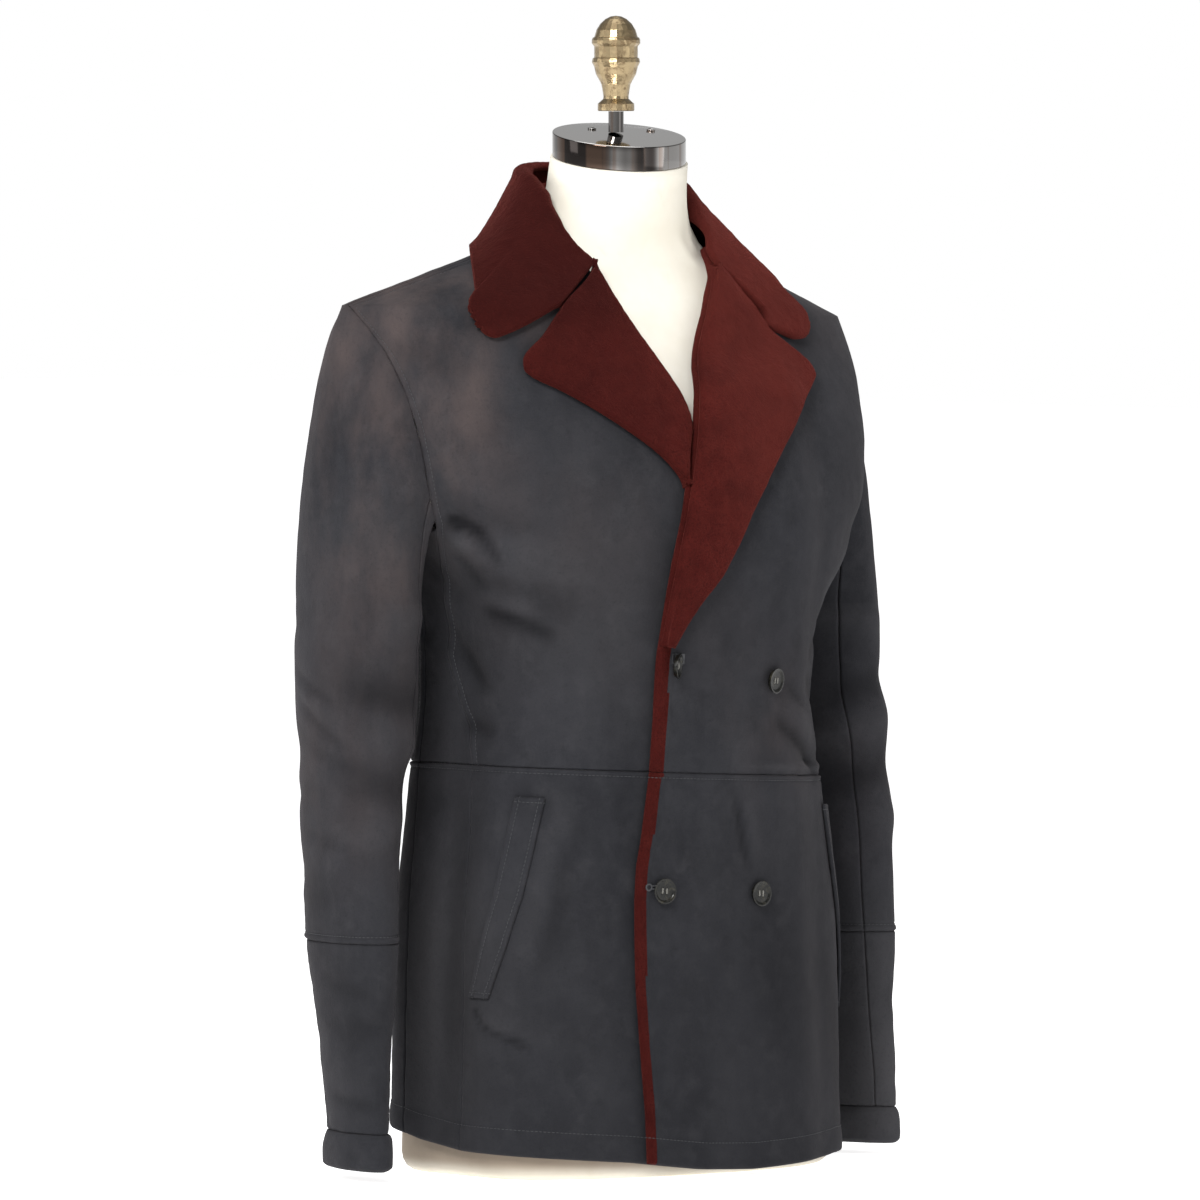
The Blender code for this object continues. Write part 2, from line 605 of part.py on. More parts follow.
def make_collar():
    """The collar's fall: from the fold down to its outer edge on the shoulders."""
    numbers = np.concatenate([np.arange(0, 8, 0.5), [8], np.arange(0, 8, 0.5)[::-1]])
    sides = np.array([RIGHT] * 16 + [RIGHT] + [LEFT] * 16, dtype=float)
    row = collar_table(numbers)
    share = spread(0, 1, 8)
    side_grid = np.broadcast_to(sides[None, :], (len(share), len(sides)))
    inward = np.where(sides == LEFT, LEFT_EDGE_INWARD, 0.0) * ramp(row["neck_run"], 1.2, 0.8)
    inward = inward * ramp(row["neck_run"], 0.266, 0.36)
    edge_run = row["edge_run"] - inward
    run = row["neck_run"][None, :] + (edge_run - row["neck_run"])[None, :] * share[:, None]
    z = (row["neck_z"][None, :] + (row["edge_z"] - row["neck_z"])[None, :] * share[:, None]) * MM
    fall = FRONT_FALL + (BACK_FALL - FRONT_FALL) * ramp(row["neck_run"], 0.6, 1.1)[None, :]
    lift = collar_lift(row, sides)[None, :, :] * ((1 - share[:, None]) ** fall)[:, :, None]
    middle, normal = surface(side_grid, quarter_run(run), z, COLLAR_REST + COLLAR_WALL / 2)
    middle = middle + lift
    along = np.gradient(middle, axis=1)
    down = np.gradient(middle, axis=0)
    facing = np.cross(along, down)
    facing /= np.linalg.norm(facing, axis=-1, keepdims=True)
    facing *= np.sign(np.sum(facing * normal, axis=-1, keepdims=True))
    half = facing * COLLAR_WALL / 2
    add_wall("collar", hang(middle + half), hang(middle - half), FUR)


def make_stand():
    """The collar's stand, inside the neck seam, under the fold."""
    count = 13
    numbers = np.concatenate([spread(STAND_FIRST_STATION, 8, count),
                              spread(STAND_FIRST_STATION, 8, count)[:-1][::-1]])
    sides = np.array([RIGHT] * count + [LEFT] * (count - 1), dtype=float)
    row = collar_table(numbers)
    seam_point = bare_point(sides, quarter_run(row["neck_run"]), row["neck_z"] * MM)
    fold_point = seam_point + collar_lift(row, sides)
    away = fold_point[:, :2] - np.array([0.0, 0.008])
    away = away / np.linalg.norm(away, axis=-1, keepdims=True)
    away = np.concatenate([away, np.zeros((len(away), 1))], axis=1)
    inside, _ = surface(sides, quarter_run(row["neck_run"]), row["neck_z"] * MM, -WALL)
    foot = inside - away * (STAND_WALL / 2 + SEAM)
    foot[:, 2] = inside[:, 2] + STAND_LIFT
    top = fold_point - away * (COLLAR_WALL / 2 + STAND_WALL / 2 + 4 * SEAM)
    top[:, 2] -= 0.0015
    share = spread(0, 1, 4)[:, None, None]
    middle = foot[None] * (1 - share) + top[None] * share
    half = away[None] * STAND_WALL / 2
    add_wall("collar_stand", hang(middle + half), hang(middle - half), SUEDE)


def make_welts():
    """Slanted pocket welts on the lower fronts."""
    data = np.asarray(WELT_ROWS, dtype=float)
    z = spread(data[0, 0], data[-1, 0], 9) * MM
    front = np.interp(z / MM, data[:, 0], data[:, 1])
    back = np.interp(z / MM, data[:, 0], data[:, 2])
    runs = front[:, None] + (back - front)[:, None] * spread(0, 1, 4)[None, :]
    for side, word in ((RIGHT, "right"), (LEFT, "left")):
        body_wall("pocket_welt_" + word, side, z, runs, wall=WELT_WALL,
                  under=3 * SEAM + WELT_WALL)


# ---------------------------------------------------------------- sleeves

def armhole_loop(angle, grow):
    """Points of the armhole on the body's side, grown in its own plane."""
    data = np.asarray(ARMHOLE_LOOP, dtype=float)
    centre = np.array([21.0, 580.0])
    y = np.interp(angle % 360, data[:, 0], data[:, 1])
    z = np.interp(angle % 360, data[:, 0], data[:, 2])
    away = np.stack([y, z], axis=-1) - centre
    away /= np.linalg.norm(away, axis=-1, keepdims=True)
    y = y * MM + away[..., 0] * grow
    z = z * MM + away[..., 1] * grow
    x = body_row(np.minimum(z, SHOULDER_TIP))[..., 0] + 2.5 * SEAM
    return np.stack([x, y, z], axis=-1)


def sleeve_fold(angle, z):
    depth = np.zeros(np.broadcast(angle, z).shape)
    for level, middle, half_length, slope, width, deep in SLEEVE_FOLDS:
        turn = (angle - middle + 180) % 360 - 180
        inside = ramp(np.abs(turn), half_length * 1.25, half_length * 0.45)
        across = z - (level + slope * turn) * MM
        depth = depth + deep * MM * inside * np.exp(-(across / (width * MM)) ** 2)
    return depth


def sleeve_ring(angle, z, shrink):
    """Point of the free sleeve (left) at an angle and height."""
    row = sleeve_row(z)
    centre_x, centre_y, deep, thin = (row[..., i] for i in range(4))
    turn = np.radians(angle)
    grow = sleeve_fold(angle, z) - shrink
    forward = np.sin(turn) * (deep + grow)
    outward = np.cos(turn) * (thin + grow)
    x = centre_x + outward * math.cos(SLEEVE_TURN) + forward * math.sin(SLEEVE_TURN)
    y = centre_y + outward * math.sin(SLEEVE_TURN) - forward * math.cos(SLEEVE_TURN)
    return np.stack(np.broadcast_arrays(x, y, z), axis=-1)


def sleeve_head(angle, share, grow, shrink):
    """Curve from the armhole (share 0) to the free sleeve (share 1)."""
    start = armhole_loop(angle, grow)
    level = np.full(np.shape(angle), SLEEVE_TOP)
    end = sleeve_ring(angle, level, shrink)
    below = sleeve_ring(angle, level - 0.01, shrink)
    reach = np.linalg.norm(end - start, axis=-1)[..., None]
    down = (end - below) * -1
    down = down / np.linalg.norm(down, axis=-1, keepdims=True)
    low_side = (1 - np.cos(np.radians(angle)))[..., None] / 2      # 0 top, 1 underarm
    away = np.concatenate([np.ones_like(low_side), np.zeros_like(low_side),
                           -0.32 + 0.10 * low_side], axis=-1)
    away = away / np.linalg.norm(away, axis=-1, keepdims=True)
    pull = reach * 0.21
    settle = reach * 1.05
    t = np.asarray(share)
    h00 = (1 + 2 * t) * (1 - t) ** 2
    h10 = t * (1 - t) ** 2
    h01 = t * t * (3 - 2 * t)
    h11 = t * t * (t - 1)
    return start * h00 + away * pull * h10 + end * h01 + down * settle * h11


def sleeve_grid(from_angle, to_angle, columns, low_z, top, head_rows, grow, shrink):
    """Grid of one sleeve piece from the armhole, or from a level, down to low_z."""
    rows = []
    if head_rows:
        seam_z = 667.0
        for share in np.linspace(0, 1, head_rows)[:-1]:
            level = seam_z + (SLEEVE_TOP / MM - seam_z) * share
            angle = spread(from_angle(level), to_angle(level), columns)
            rows.append(sleeve_head(angle, share, grow, shrink))
    for z in levels(low_z, top, 0.0285)[::-1]:
        angle = spread(from_angle(z / MM), to_angle(z / MM), columns)
        rows.append(sleeve_ring(angle, np.full(columns, z), shrink))
    return np.array(rows)


def seam_angle(which, extra):
    """Angle of a sleeve seam at a level, moved by a seam's space in degrees."""
    return lambda level: np.interp(level, SEAM_ROWS[:, 0], SEAM_ROWS[:, which]) + extra


def place_sleeve(points, side):
    """Mirrors a left sleeve to its side; its head follows the coat's hang."""
    points = np.array(points)
    points[..., 0] *= side
    share = ramp(points[..., 2], 0.38, 0.50)[..., None]
    return points + (hang(points) - points) * share


def make_sleeves():
    """Top and under sleeves, each with a forearm piece, and the turned-up cuffs."""
    gap = 0.45                     # degrees kept clear on each side of a seam
    pieces = (("top", seam_angle(2, gap), seam_angle(1, -gap), 10),
              ("under", seam_angle(1, gap), seam_angle(2, 360 - gap), 9))
    for side, word in ((RIGHT, "right"), (LEFT, "left")):
        for piece, start, end, columns in pieces:
            middle = FOREARM_SEAM[side]
            for part, low_z, top, head_rows in (
                    ("sleeve", middle + SEAM / 2, SLEEVE_TOP, 8),
                    ("forearm", CUFF_TOP + SEAM, middle - SEAM / 2, 0)):
                outer = sleeve_grid(start, end, columns, low_z, top, head_rows, ARMHOLE_LAP, 0.0)
                inner = sleeve_grid(start, end, columns, low_z, top, head_rows, -ARMHOLE_LAP,
                                    SLEEVE_WALL)
                add_wall("%s_%s_%s" % (part, piece, word), place_sleeve(outer, side),
                         place_sleeve(inner, side), SUEDE)
        angle = np.arange(20) * 18.0
        outer = []
        inner = []
        for level, growth in CUFF_ROWS:
            z = np.full(angle.shape, level * MM)
            outer.append(sleeve_ring(angle, z, -growth * MM))
            inner.append(sleeve_ring(angle, z, SLEEVE_WALL))
        add_wall("cuff_" + word, place_sleeve(np.array(outer), side),
                 place_sleeve(np.array(inner), side), SUEDE, closed=True)


# ---------------------------------------------------------------- buttons

def turned(name, outline, finish, steps):
    """Solid of revolution about its own Z from (height, radius) rows, top to bottom."""
    mesh = bpy.data.meshes.new(name)
    points = [(radius * MM, 0.0, height * MM) for height, radius in outline]
    mesh.from_pydata(points, [(i, i + 1) for i in range(len(points) - 1)], [])
    mesh.materials.append(make_material(finish))
    obj = bpy.data.objects.new(name, mesh)
    parts.objects.link(obj)
    screw = obj.modifiers.new("turn", "SCREW")
    screw.axis = "Z"
    screw.angle = 2 * math.pi
    screw.steps = steps
    screw.render_steps = steps
    screw.use_merge_vertices = True
    screw.merge_threshold = 0.00001
    screw.use_smooth_shade = True
    return obj


def make_buttons():
    """Dished horn buttons, seated on the left front."""
    rim, height = BUTTON_RADIUS / MM, BUTTON_HEIGHT / MM
    outline = ((height - 1.3, 0), (height - 1.3, rim * 0.52), (height, rim * 0.72),
               (height, rim * 0.9), (height - 1.0, rim), (1.2, rim), (0.0, rim * 0.72), (0.0, 0))
    for name, (level, x) in BUTTONS.items():
        z, x = level * MM, x * MM
        out = float(overlap_lift(x, z)) + SEAM
        seat = hang(front_place(x, z, out))
        beside = hang(front_place(x + 0.004, z, out)) - hang(front_place(x - 0.004, z, out))
        above = hang(front_place(x, z + 0.004, out)) - hang(front_place(x, z - 0.004, out))
        facing = np.cross(beside, above)
        facing /= np.linalg.norm(facing)
        beside /= np.linalg.norm(beside)
        above = np.cross(facing, beside)
        obj = turned(name, outline, HORN, 16)
        seat = seat + facing * 0.0002
        rows = [(beside[i], above[i], facing[i], seat[i]) for i in range(3)]
        obj.matrix_world = Matrix((*rows, (0, 0, 0, 1)))


# ---------------------------------------------------------------- dress form

def make_torso():
    """Solid torso with flat base, closed arm stumps and neck."""
    runs = np.concatenate([spread(0, 1, 11), spread(1, 2, 3)[1:], spread(2, 3, 10)[1:]])
    half_count = len(runs)
    runs = np.concatenate([runs, runs[1:-1][::-1]])
    sides = np.array([1.0] * half_count + [-1.0] * (len(runs) - half_count))
    upper = upper_levels()
    heights = np.concatenate([[level * MM for level, _ in FORM_FOOT_ROWS],
                              levels(0.050, 0.500, 0.0560), levels(0.525, 0.590, 0.035),
                              upper[upper > 0.595]])
    foot = dict(FORM_FOOT_ROWS)
    rings = []
    for z in heights:
        inset = foot.get(round(z / MM, 3), 0.0) * MM
        inset += NECK_INSET if z > NECK_SEAM - 0.001 else 0.0
        clear = WALL + float(form_clearance(z)) + inset
        level = max(z, 0.001)
        ring, _ = surface(sides, runs, np.full(runs.shape, level), -clear, ridge=0.0012)
        ring = hang(ring, float(ramp(z, 0.02, 0.20)))
        if z < 0.02:
            ring[:, 2] = z
        rings.append(ring)
    turn = neck_angles(runs)
    for level, half_width, half_depth, centre_y in NECK_ROWS:
        ring = np.stack([half_width * MM * np.sin(turn) * sides,
                         centre_y * MM - half_depth * MM * np.cos(turn),
                         np.full(turn.shape, level * MM)], axis=-1)
        ring = slant(ring, centre_y * MM, float(ramp(level * MM, 0.745, 0.786)))
        rings.append(hang(ring, float(ramp(level * MM, 0.75, 0.70))))
    points = np.concatenate(rings)
    count = len(runs)
    faces = []
    for row in range(len(rings) - 1):
        for column in range(count):
            right = (column + 1) % count
            faces.append([row * count + column, row * count + right,
                          (row + 1) * count + right, (row + 1) * count + column])
    faces.append(list(range(count))[::-1])
    last = (len(rings) - 1) * count
    faces.append([last + i for i in range(count)])
    add_object("form_torso", points, faces, LINEN)


def neck_angles(runs):
    """Angle round the neck of each run, evenly enough for a round neck."""
    return np.interp(runs, [0, 1, 2, 3], [0, math.radians(84), math.radians(100), math.pi])


def slant(points, centre_y, share):
    """Tips a neck ring forward and a little aside, for its slanted top."""
    points = np.array(points)
    points[..., 2] += share * (np.tan(NECK_SLANT_Y) * (points[..., 1] - centre_y)
                               + np.tan(NECK_SLANT_X) * points[..., 0] * -1)
    return points


def make_fittings():
    """Neck cap, rod and finial."""
    _, _, _, centre_y = NECK_ROWS[-1]
    level = NECK_ROWS[-1][0] * MM
    turn = np.radians(np.arange(32) * 11.25)
    profile = ((SEAM, 0.0), (CAP_HEIGHT - 0.003, 0.0), (CAP_HEIGHT - 0.0009, 0.0009),
               (CAP_HEIGHT, 0.0030))
    rings = []
    for up, inset in profile:
        ring = np.stack([(CAP_HALF_WIDTH - inset) * np.sin(turn),
                         centre_y * MM - (CAP_HALF_DEPTH - inset) * np.cos(turn),
                         np.full(turn.shape, level + up)], axis=-1)
        rings.append(slant(ring, centre_y * MM, 1.0))
    count = len(turn)
    faces = []
    for row in range(len(rings) - 1):
        for column in range(count):
            right = (column + 1) % count
            faces.append([row * count + column, row * count + right,
                          (row + 1) * count + right, (row + 1) * count + column])
    faces.append(list(range(count))[::-1])
    faces.append([(len(rings) - 1) * count + i for i in range(count)])
    add_object("neck_cap", np.concatenate(rings), faces, CHROME)

    rod_x, rod_y = ROD_PLACE
    seat = level + CAP_HEIGHT + math.tan(NECK_SLANT_Y) * (rod_y + ROD_RADIUS - centre_y * MM)
    foot = seat + SEAM
    top = FINIAL_BOTTOM - SEAM
    bpy.ops.mesh.primitive_cylinder_add(vertices=24, radius=ROD_RADIUS, depth=top - foot,
                                        location=(rod_x, rod_y, (top + foot) / 2))
    rod = bpy.context.object
    rod.name = "rod"
    rod.data.materials.append(make_material(CHROME))
    for collection in list(rod.users_collection):
        collection.objects.unlink(rod)
    parts.objects.link(rod)

    finial = turned("finial", FINIAL_OUTLINE, BRASS, 20)
    finial.location = (rod_x, rod_y, FINIAL_BOTTOM)


for old in list(bpy.data.objects):
    bpy.data.objects.remove(old, do_unlink=True)
parts = bpy.data.collections.new("leather_coat_on_dress_form")
bpy.context.scene.collection.children.link(parts)

make_fronts()
make_sides()
make_back()
make_lapels()
make_collar()
make_stand()
make_welts()
make_sleeves()
make_buttons()
make_torso()
make_fittings()
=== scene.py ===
"""Looks of the leather coat on its limbless dress form.

A double-breasted sheepskin coat with the fur side in: slate suede outside,
shorn burgundy fur on the collar, lapels and along the open front edge, horn
buttons, a cream form with a chromed cap and a worn brass finial.

Metres, +Z up, the form faces -Y, +X is to the wearer's left.  A place on the
coat's body is (side, run, height): run 0 is the centre front, 1 the front edge
of the side, 2 its back edge and 3 the centre back.
"""
import math

import bpy
import numpy as np
from mathutils import Matrix, Vector


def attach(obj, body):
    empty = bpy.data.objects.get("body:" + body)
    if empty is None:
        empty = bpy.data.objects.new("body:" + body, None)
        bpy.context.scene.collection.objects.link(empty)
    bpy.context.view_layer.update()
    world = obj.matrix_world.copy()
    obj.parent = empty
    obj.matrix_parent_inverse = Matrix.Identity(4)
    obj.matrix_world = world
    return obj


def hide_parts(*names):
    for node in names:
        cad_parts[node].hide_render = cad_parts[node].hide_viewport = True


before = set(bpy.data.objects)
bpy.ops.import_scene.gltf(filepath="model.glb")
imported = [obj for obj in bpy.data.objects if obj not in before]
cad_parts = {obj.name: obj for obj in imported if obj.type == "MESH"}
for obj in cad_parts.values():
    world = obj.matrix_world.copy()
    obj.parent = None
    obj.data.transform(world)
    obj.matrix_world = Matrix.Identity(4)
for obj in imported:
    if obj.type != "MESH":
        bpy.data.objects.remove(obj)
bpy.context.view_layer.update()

MM = 0.001
SEAM = 0.0003
WALL = 0.0070
SLEEVE_WALL = 0.0055
LAPEL_WALL = 0.0075
COLLAR_WALL = 0.0075
STAND_WALL = 0.0050
WELT_WALL = 0.0025
ROUNDNESS = 2.2
RIGHT, LEFT = -1, 1

# ---------------------------------------------------------------- the coat's form

# Outer surface of the body, in mm.
BODY_COLUMNS = ("height", "half_width", "front_y", "side_front_y", "side_back_y", "back_y")
BODY_SECTIONS = (
    (0, 175.5, -131, -42, 44, 124),
    (20, 175, -130, -42, 44, 123),
    (110, 175, -124, -41, 42, 114),
    (200, 173, -120, -40, 40, 107),
    (250, 167, -120, -38, 41, 103),
    (310, 159, -121, -34, 45, 100),
    (370, 153, -123, -29, 45, 101),
    (410, 154, -126, -26, 44, 104),
    (450, 165, -128, -25, 42, 109),
    (475, 179, -129, -24, 40, 112),
    (500, 196, -128, -25, 43, 115),
    (532, 207, -123, -28, 60, 118),
    (569, 214, -111, -26, 69, 118),
    (605, 220, -95, -14, 68, 114),
    (630, 225, -84, 0, 63, 109),
    (648, 229, -76, 17, 56, 104),
    (668, 233, -68, 38, 38, 97),
)
YOKE_SECTIONS = (
    (668, 233, -68, 38, 38, 97),
    (690, 172, -57, 28, 28, 86),
    (705, 130, -49, 20, 20, 77),
    (720, 88, -42, 12, 12, 68),
)
SHOULDER_TIP = 0.668
NECK_SEAM = 0.720
UNDERARM = 0.4950
WAIST_SEAM = 0.3120
HEM = ((-3, 27), (-2.3, 25), (-1.8, 16.4), (-1.2, 10.4), (-0.72, 9.1), (-0.28, 8.4),
       (-0.16, 6.6), (-0.05, 5.0), (0.09, 6.2), (0.32, 12.6), (0.6, 19), (1.2, 21), (3, 27))
SLOPE_AT_FLOOR = 0.065
SLOPE_LOSS_PER_METRE = 0.053

# Front edges and lapel outlines: (height, x) in mm.
LEFT_EDGE = ((0, -70), (50, -70), (97, -72), (144, -74), (214, -73.6), (238, -72), (261, -67.5),
             (308, -61), (354, -58), (402, -57), (448, -51), (474, -47), (495, -41.5), (530, -31),
             (585, -8), (628, 9), (655, 25), (686, 46), (700, 58), (720, 66))
RIGHT_EDGE = ((0, 60), (312, 60), (400, 57), (470, 34), (530, 14), (585, -5), (628, -27),
              (665, -48), (700, -61), (720, -68))
OVERLAP_LIFT = WALL + 2 * SEAM
OVERLAP_FULL_X, OVERLAP_NONE_X = 0.082, 0.125
OVERLAP_FULL_Z, OVERLAP_NONE_Z = 0.600, 0.642
RIGHT_LAPEL = ((533.8, -28.4), (557, -50), (580, -82), (604, -122), (615, -144), (620, -148),
               (626, -147), (646, -125), (667.5, -103), (696, -64), (702.5, -58))
LAPEL_ROLL = {RIGHT: 0.0007, LEFT: 0.0012}
LAPEL_REST = 0.0012
LAPEL_BELLY = 0.0012

COLLAR_COLUMNS = ("neck_run", "neck_z", "lift_out", "lift_back", "lift_up", "edge_run", "edge_z")
COLLAR_STATIONS = (
    (0.266, 701, 0, 0, 0, 0.272, 668.5),
    (0.306, 706, 2, 2, 3, 0.366, 655),
    (0.395, 712, 3, 4, 9, 0.478, 644),
    (0.590, 718, -4, 5, 20, 0.512, 656),
    (0.798, 720, -12, 4, 33, 0.590, 682),
    (1.000, 720, -15, 3, 43, 0.850, 701),
    (1.250, 720, -18, 1, 48, 1.120, 709),
    (1.550, 720, -13, -1, 52, 1.500, 708),
    (2.000, 720, 0, -2, 54, 2.000, 700),
)
COLLAR_LEAN = -5.5
# The collar's outer edge on each half: (station number, quarter run, height mm).
RIGHT_COLLAR_OUTLINE = (
    (0, 0.272, 668.5), (1, 0.366, 655), (1.85, 0.462, 644.5), (2.1, 0.484, 643),
    (2.4, 0.503, 644.4), (2.8, 0.515, 650.4), (3.3, 0.495, 666.6), (4, 0.588, 681.1),
    (4.6, 0.763, 695.8), (5.3, 1.00, 706), (6, 1.15, 709), (7, 1.50, 708), (8, 2.00, 700))
LEFT_COLLAR_OUTLINE = (
    (0, 0.233, 656.6), (0.6, 0.288, 651.4), (1.3, 0.34, 647.4), (1.7, 0.375, 648.4),
    (2.05, 0.395, 653.1), (2.4, 0.388, 659.4), (2.9, 0.370, 669.9), (3.4, 0.425, 680),
    (4, 0.50, 689), (5, 0.80, 702), (6, 1.13, 709), (7, 1.50, 708), (8, 2.00, 700))
# The left lapel's outer edge with its notch, and the heights where the gorge seams start.
LEFT_LAPEL_OUTLINE = ((410, -47.5), (434, -33), (475, -0.5), (515, 26), (555, 61), (592, 101),
                      (614, 127), (620, 132), (626, 130), (640, 112), (656.6, 91), (676, 77.5),
                      (696, 64), (702, 60))
NOTCH_HEIGHT = {RIGHT: 0.6675, LEFT: 0.6566}
FRONT_FALL, BACK_FALL = 2.3, 1.9
COLLAR_REST = 0.0014
STAND_FIRST_STATION = 3.9
STAND_LIFT = 0.0035

WELT_ROWS = ((131, 0.865, 0.995), (170, 0.770, 0.925), (212, 0.690, 0.842), (250, 0.655, 0.805),
             (289, 0.622, 0.768))
SIDE_SEAM = ((0, 170), (100, 120), (250, 120), (312, 160), (340, 240), (364, 420), (397, 620),
             (437, 550), (461, 440), (484, 150), (495, 40), (500, 0), (720, 0))

# Large folds of the body: side, run and height of both ends, width and depth, mm.
FOLD_COLUMNS = ("side", "run_a", "z_a", "run_b", "z_b", "width", "depth")
BODY_FOLDS = (
    (RIGHT, 0.97, 512, 0.55, 492, 15, -3.4),
    (RIGHT, 0.98, 488, 0.50, 470, 16, 3.4),
    (RIGHT, 0.97, 455, 0.48, 438, 13, -2.6),
    (RIGHT, 1.60, 470, 1.00, 432, 12, -2.4),
    (RIGHT, 1.70, 420, 1.00, 385, 12, -2.2),
    (LEFT, 0.97, 512, 0.55, 492, 15, -3.0),
    (LEFT, 0.98, 488, 0.50, 470, 16, 3.0),
    (LEFT, 1.60, 470, 1.00, 432, 12, -2.4),
    (LEFT, 0.62, 395, 0.80, 344, 13, -4.2),
    (LEFT, 0.80, 344, 1.60, 336, 12, -3.4),
    (LEFT, 0.40, 322, 0.95, 322, 9, -2.2),
    (RIGHT, 0.90, 122, 0.50, 96, 13, 2.6),
    (RIGHT, 2.30, 400, 2.90, 372, 16, -2.4),
    (LEFT, 2.30, 400, 2.90, 372, 16, -2.4),
    (RIGHT, 2.20, 520, 2.60, 440, 18, 3.0),
    (LEFT, 2.20, 520, 2.60, 440, 18, 3.0),
)
# Finer creases of the suede, of the same kind.
BODY_CREASES = (
    (RIGHT, 1.03, 496, 0.89, 501, 5.5, -5.0),
    (RIGHT, 0.89, 501, 0.785, 492, 5.5, -4.2),
    (RIGHT, 0.785, 492, 0.757, 470, 6.0, -2.8),
    (RIGHT, 0.96, 480, 0.93, 446, 5.0, -1.8),
    (RIGHT, 1.00, 485, 0.86, 485, 7.0, 2.8),
    (RIGHT, 0.94, 432, 0.78, 426, 6.5, -2.9),
    (RIGHT, 0.78, 426, 0.62, 415, 7.0, -2.4),
    (RIGHT, 0.94, 444, 0.70, 434, 7.0, 1.8),
    (RIGHT, 1.35, 402, 0.98, 372, 6.5, -1.9),
    (RIGHT, 1.30, 346, 0.94, 338, 6.5, -1.8),
    (RIGHT, 0.97, 121, 0.88, 108, 3.2, -2.6),
    (RIGHT, 0.88, 108, 0.66, 94, 3.6, -2.2),
    (RIGHT, 0.94, 116, 0.74, 104, 4.5, 1.8),
    (RIGHT, 0.60, 300, 0.50, 262, 8.0, 1.3),
    (RIGHT, 0.58, 262, 0.66, 170, 8.0, 1.4),
    (RIGHT, 0.52, 250, 0.58, 160, 9.0, -1.3),
    (RIGHT, 1.18, 270, 1.30, 80, 14.0, -1.3),
    (RIGHT, 1.55, 250, 1.62, 70, 16.0, 1.2),
    (RIGHT, 0.36, 150, 0.38, 60, 16.0, 0.8),
    (LEFT, 0.057, 292, 0.093, 244, 4.5, -2.1),
    (LEFT, 0.10, 294, 0.13, 250, 6.0, 1.4),
    (LEFT, 0.24, 354, 0.36, 337, 6.0, -2.6),
    (LEFT, 0.36, 337, 0.56, 317, 6.0, -3.6),
    (LEFT, 0.10, 319, 0.52, 318, 3.2, 1.9),
    (LEFT, 0.52, 318, 0.92, 320, 3.6, 2.2),
    (LEFT, 0.28, 384, 0.44, 360, 5.5, -2.0),
    (LEFT, 0.44, 388, 0.62, 372, 6.5, -2.0),
    (LEFT, 0.34, 362, 0.54, 343, 8.0, 2.2),
    (LEFT, 0.50, 405, 0.85, 428, 7.0, -2.0),
    (LEFT, 0.98, 499, 0.80, 488, 5.5, -4.0),
    (LEFT, 0.86, 450, 0.62, 428, 7.0, -2.2),
    (LEFT, 0.34, 210, 0.42, 60, 15.0, 1.1),
    (LEFT, 0.62, 150, 0.70, 50, 14.0, -1.2),
    (LEFT, 1.20, 260, 1.32, 80, 14.0, -1.2),
    (RIGHT, 2.28, 330, 2.60, 322, 5.0, 1.6),
    (LEFT, 2.20, 334, 2.70, 322, 5.0, 1.5),
    (RIGHT, 2.15, 300, 2.30, 90, 18.0, 1.8),
    (LEFT, 2.18, 300, 2.34, 70, 18.0, 1.7),
    (RIGHT, 2.62, 290, 2.72, 60, 18.0, -1.6),
    (LEFT, 2.60, 296, 2.74, 80, 18.0, -1.5),
    (RIGHT, 2.12, 560, 2.40, 470, 9.0, -1.6),
    (LEFT, 2.12, 560, 2.42, 476, 9.0, -1.4),
    (RIGHT, 2.40, 640, 2.85, 600, 14.0, -1.0),
    (LEFT, 2.40, 640, 2.80, 604, 14.0, -0.9),
    (RIGHT, 0.92, 676, 0.62, 660, 10.0, 0.8),
    (RIGHT, 0.86, 640, 0.70, 618, 12.0, -0.7),
)
FOLD_RADIUS = 0.15

ARMHOLE_LOOP = (
    (0, 38, 667), (22, 17, 650), (45, 0, 630), (70, -17, 598), (90, -26.5, 563),
    (112, -28, 531), (135, -26, 504), (160, -12, 496.8), (180, 9, 495.5), (200, 27, 496.2),
    (225, 44, 503), (248, 60, 532), (270, 69, 568), (292, 67, 605), (315, 62, 632),
    (338, 53, 653), (360, 38, 667),
)
ARMHOLE_CENTRE = (21.0, 580.0)
ARMHOLE_LAP = 0.0028
SLEEVE_SECTIONS = (
    (440, 218, 46, 74, 41.5),
    (405, 220, 45, 73, 42),
    (370, 221.5, 42, 72, 42),
    (340, 226.5, 39, 68.8, 39.2),
    (318, 230.5, 36.8, 65.4, 35.8),
    (290, 232, 35, 64.5, 34.5),
    (250, 235.5, 32, 62, 31.5),
    (212, 236.5, 30, 61, 30.5),
    (176, 237.5, 27, 59.5, 28.5),
    (140, 238, 24, 57, 24.5),
    (100, 240, 20, 52, 20),
    (65, 241.5, 16, 49.5, 17.5),
    (38, 242, 14, 48, 16),
)
SLEEVE_TOP = 0.440
FOREARM_SEAM = {RIGHT: 0.184, LEFT: 0.176}
CUFF_TOP = 0.0375
CUFF_BOTTOM = 0.0085
SLEEVE_TURN = math.radians(14)
SLEEVE_SEAMS = ((667, 122, -62), (440, 127, -58), (300, 128, -46), (176, 129, -42), (0, 130, -40))
CUFF_ROWS = ((37.5, 0.4), (33, 2.6), (22, 4.0), (12, 3.4), (8.5, 1.4))
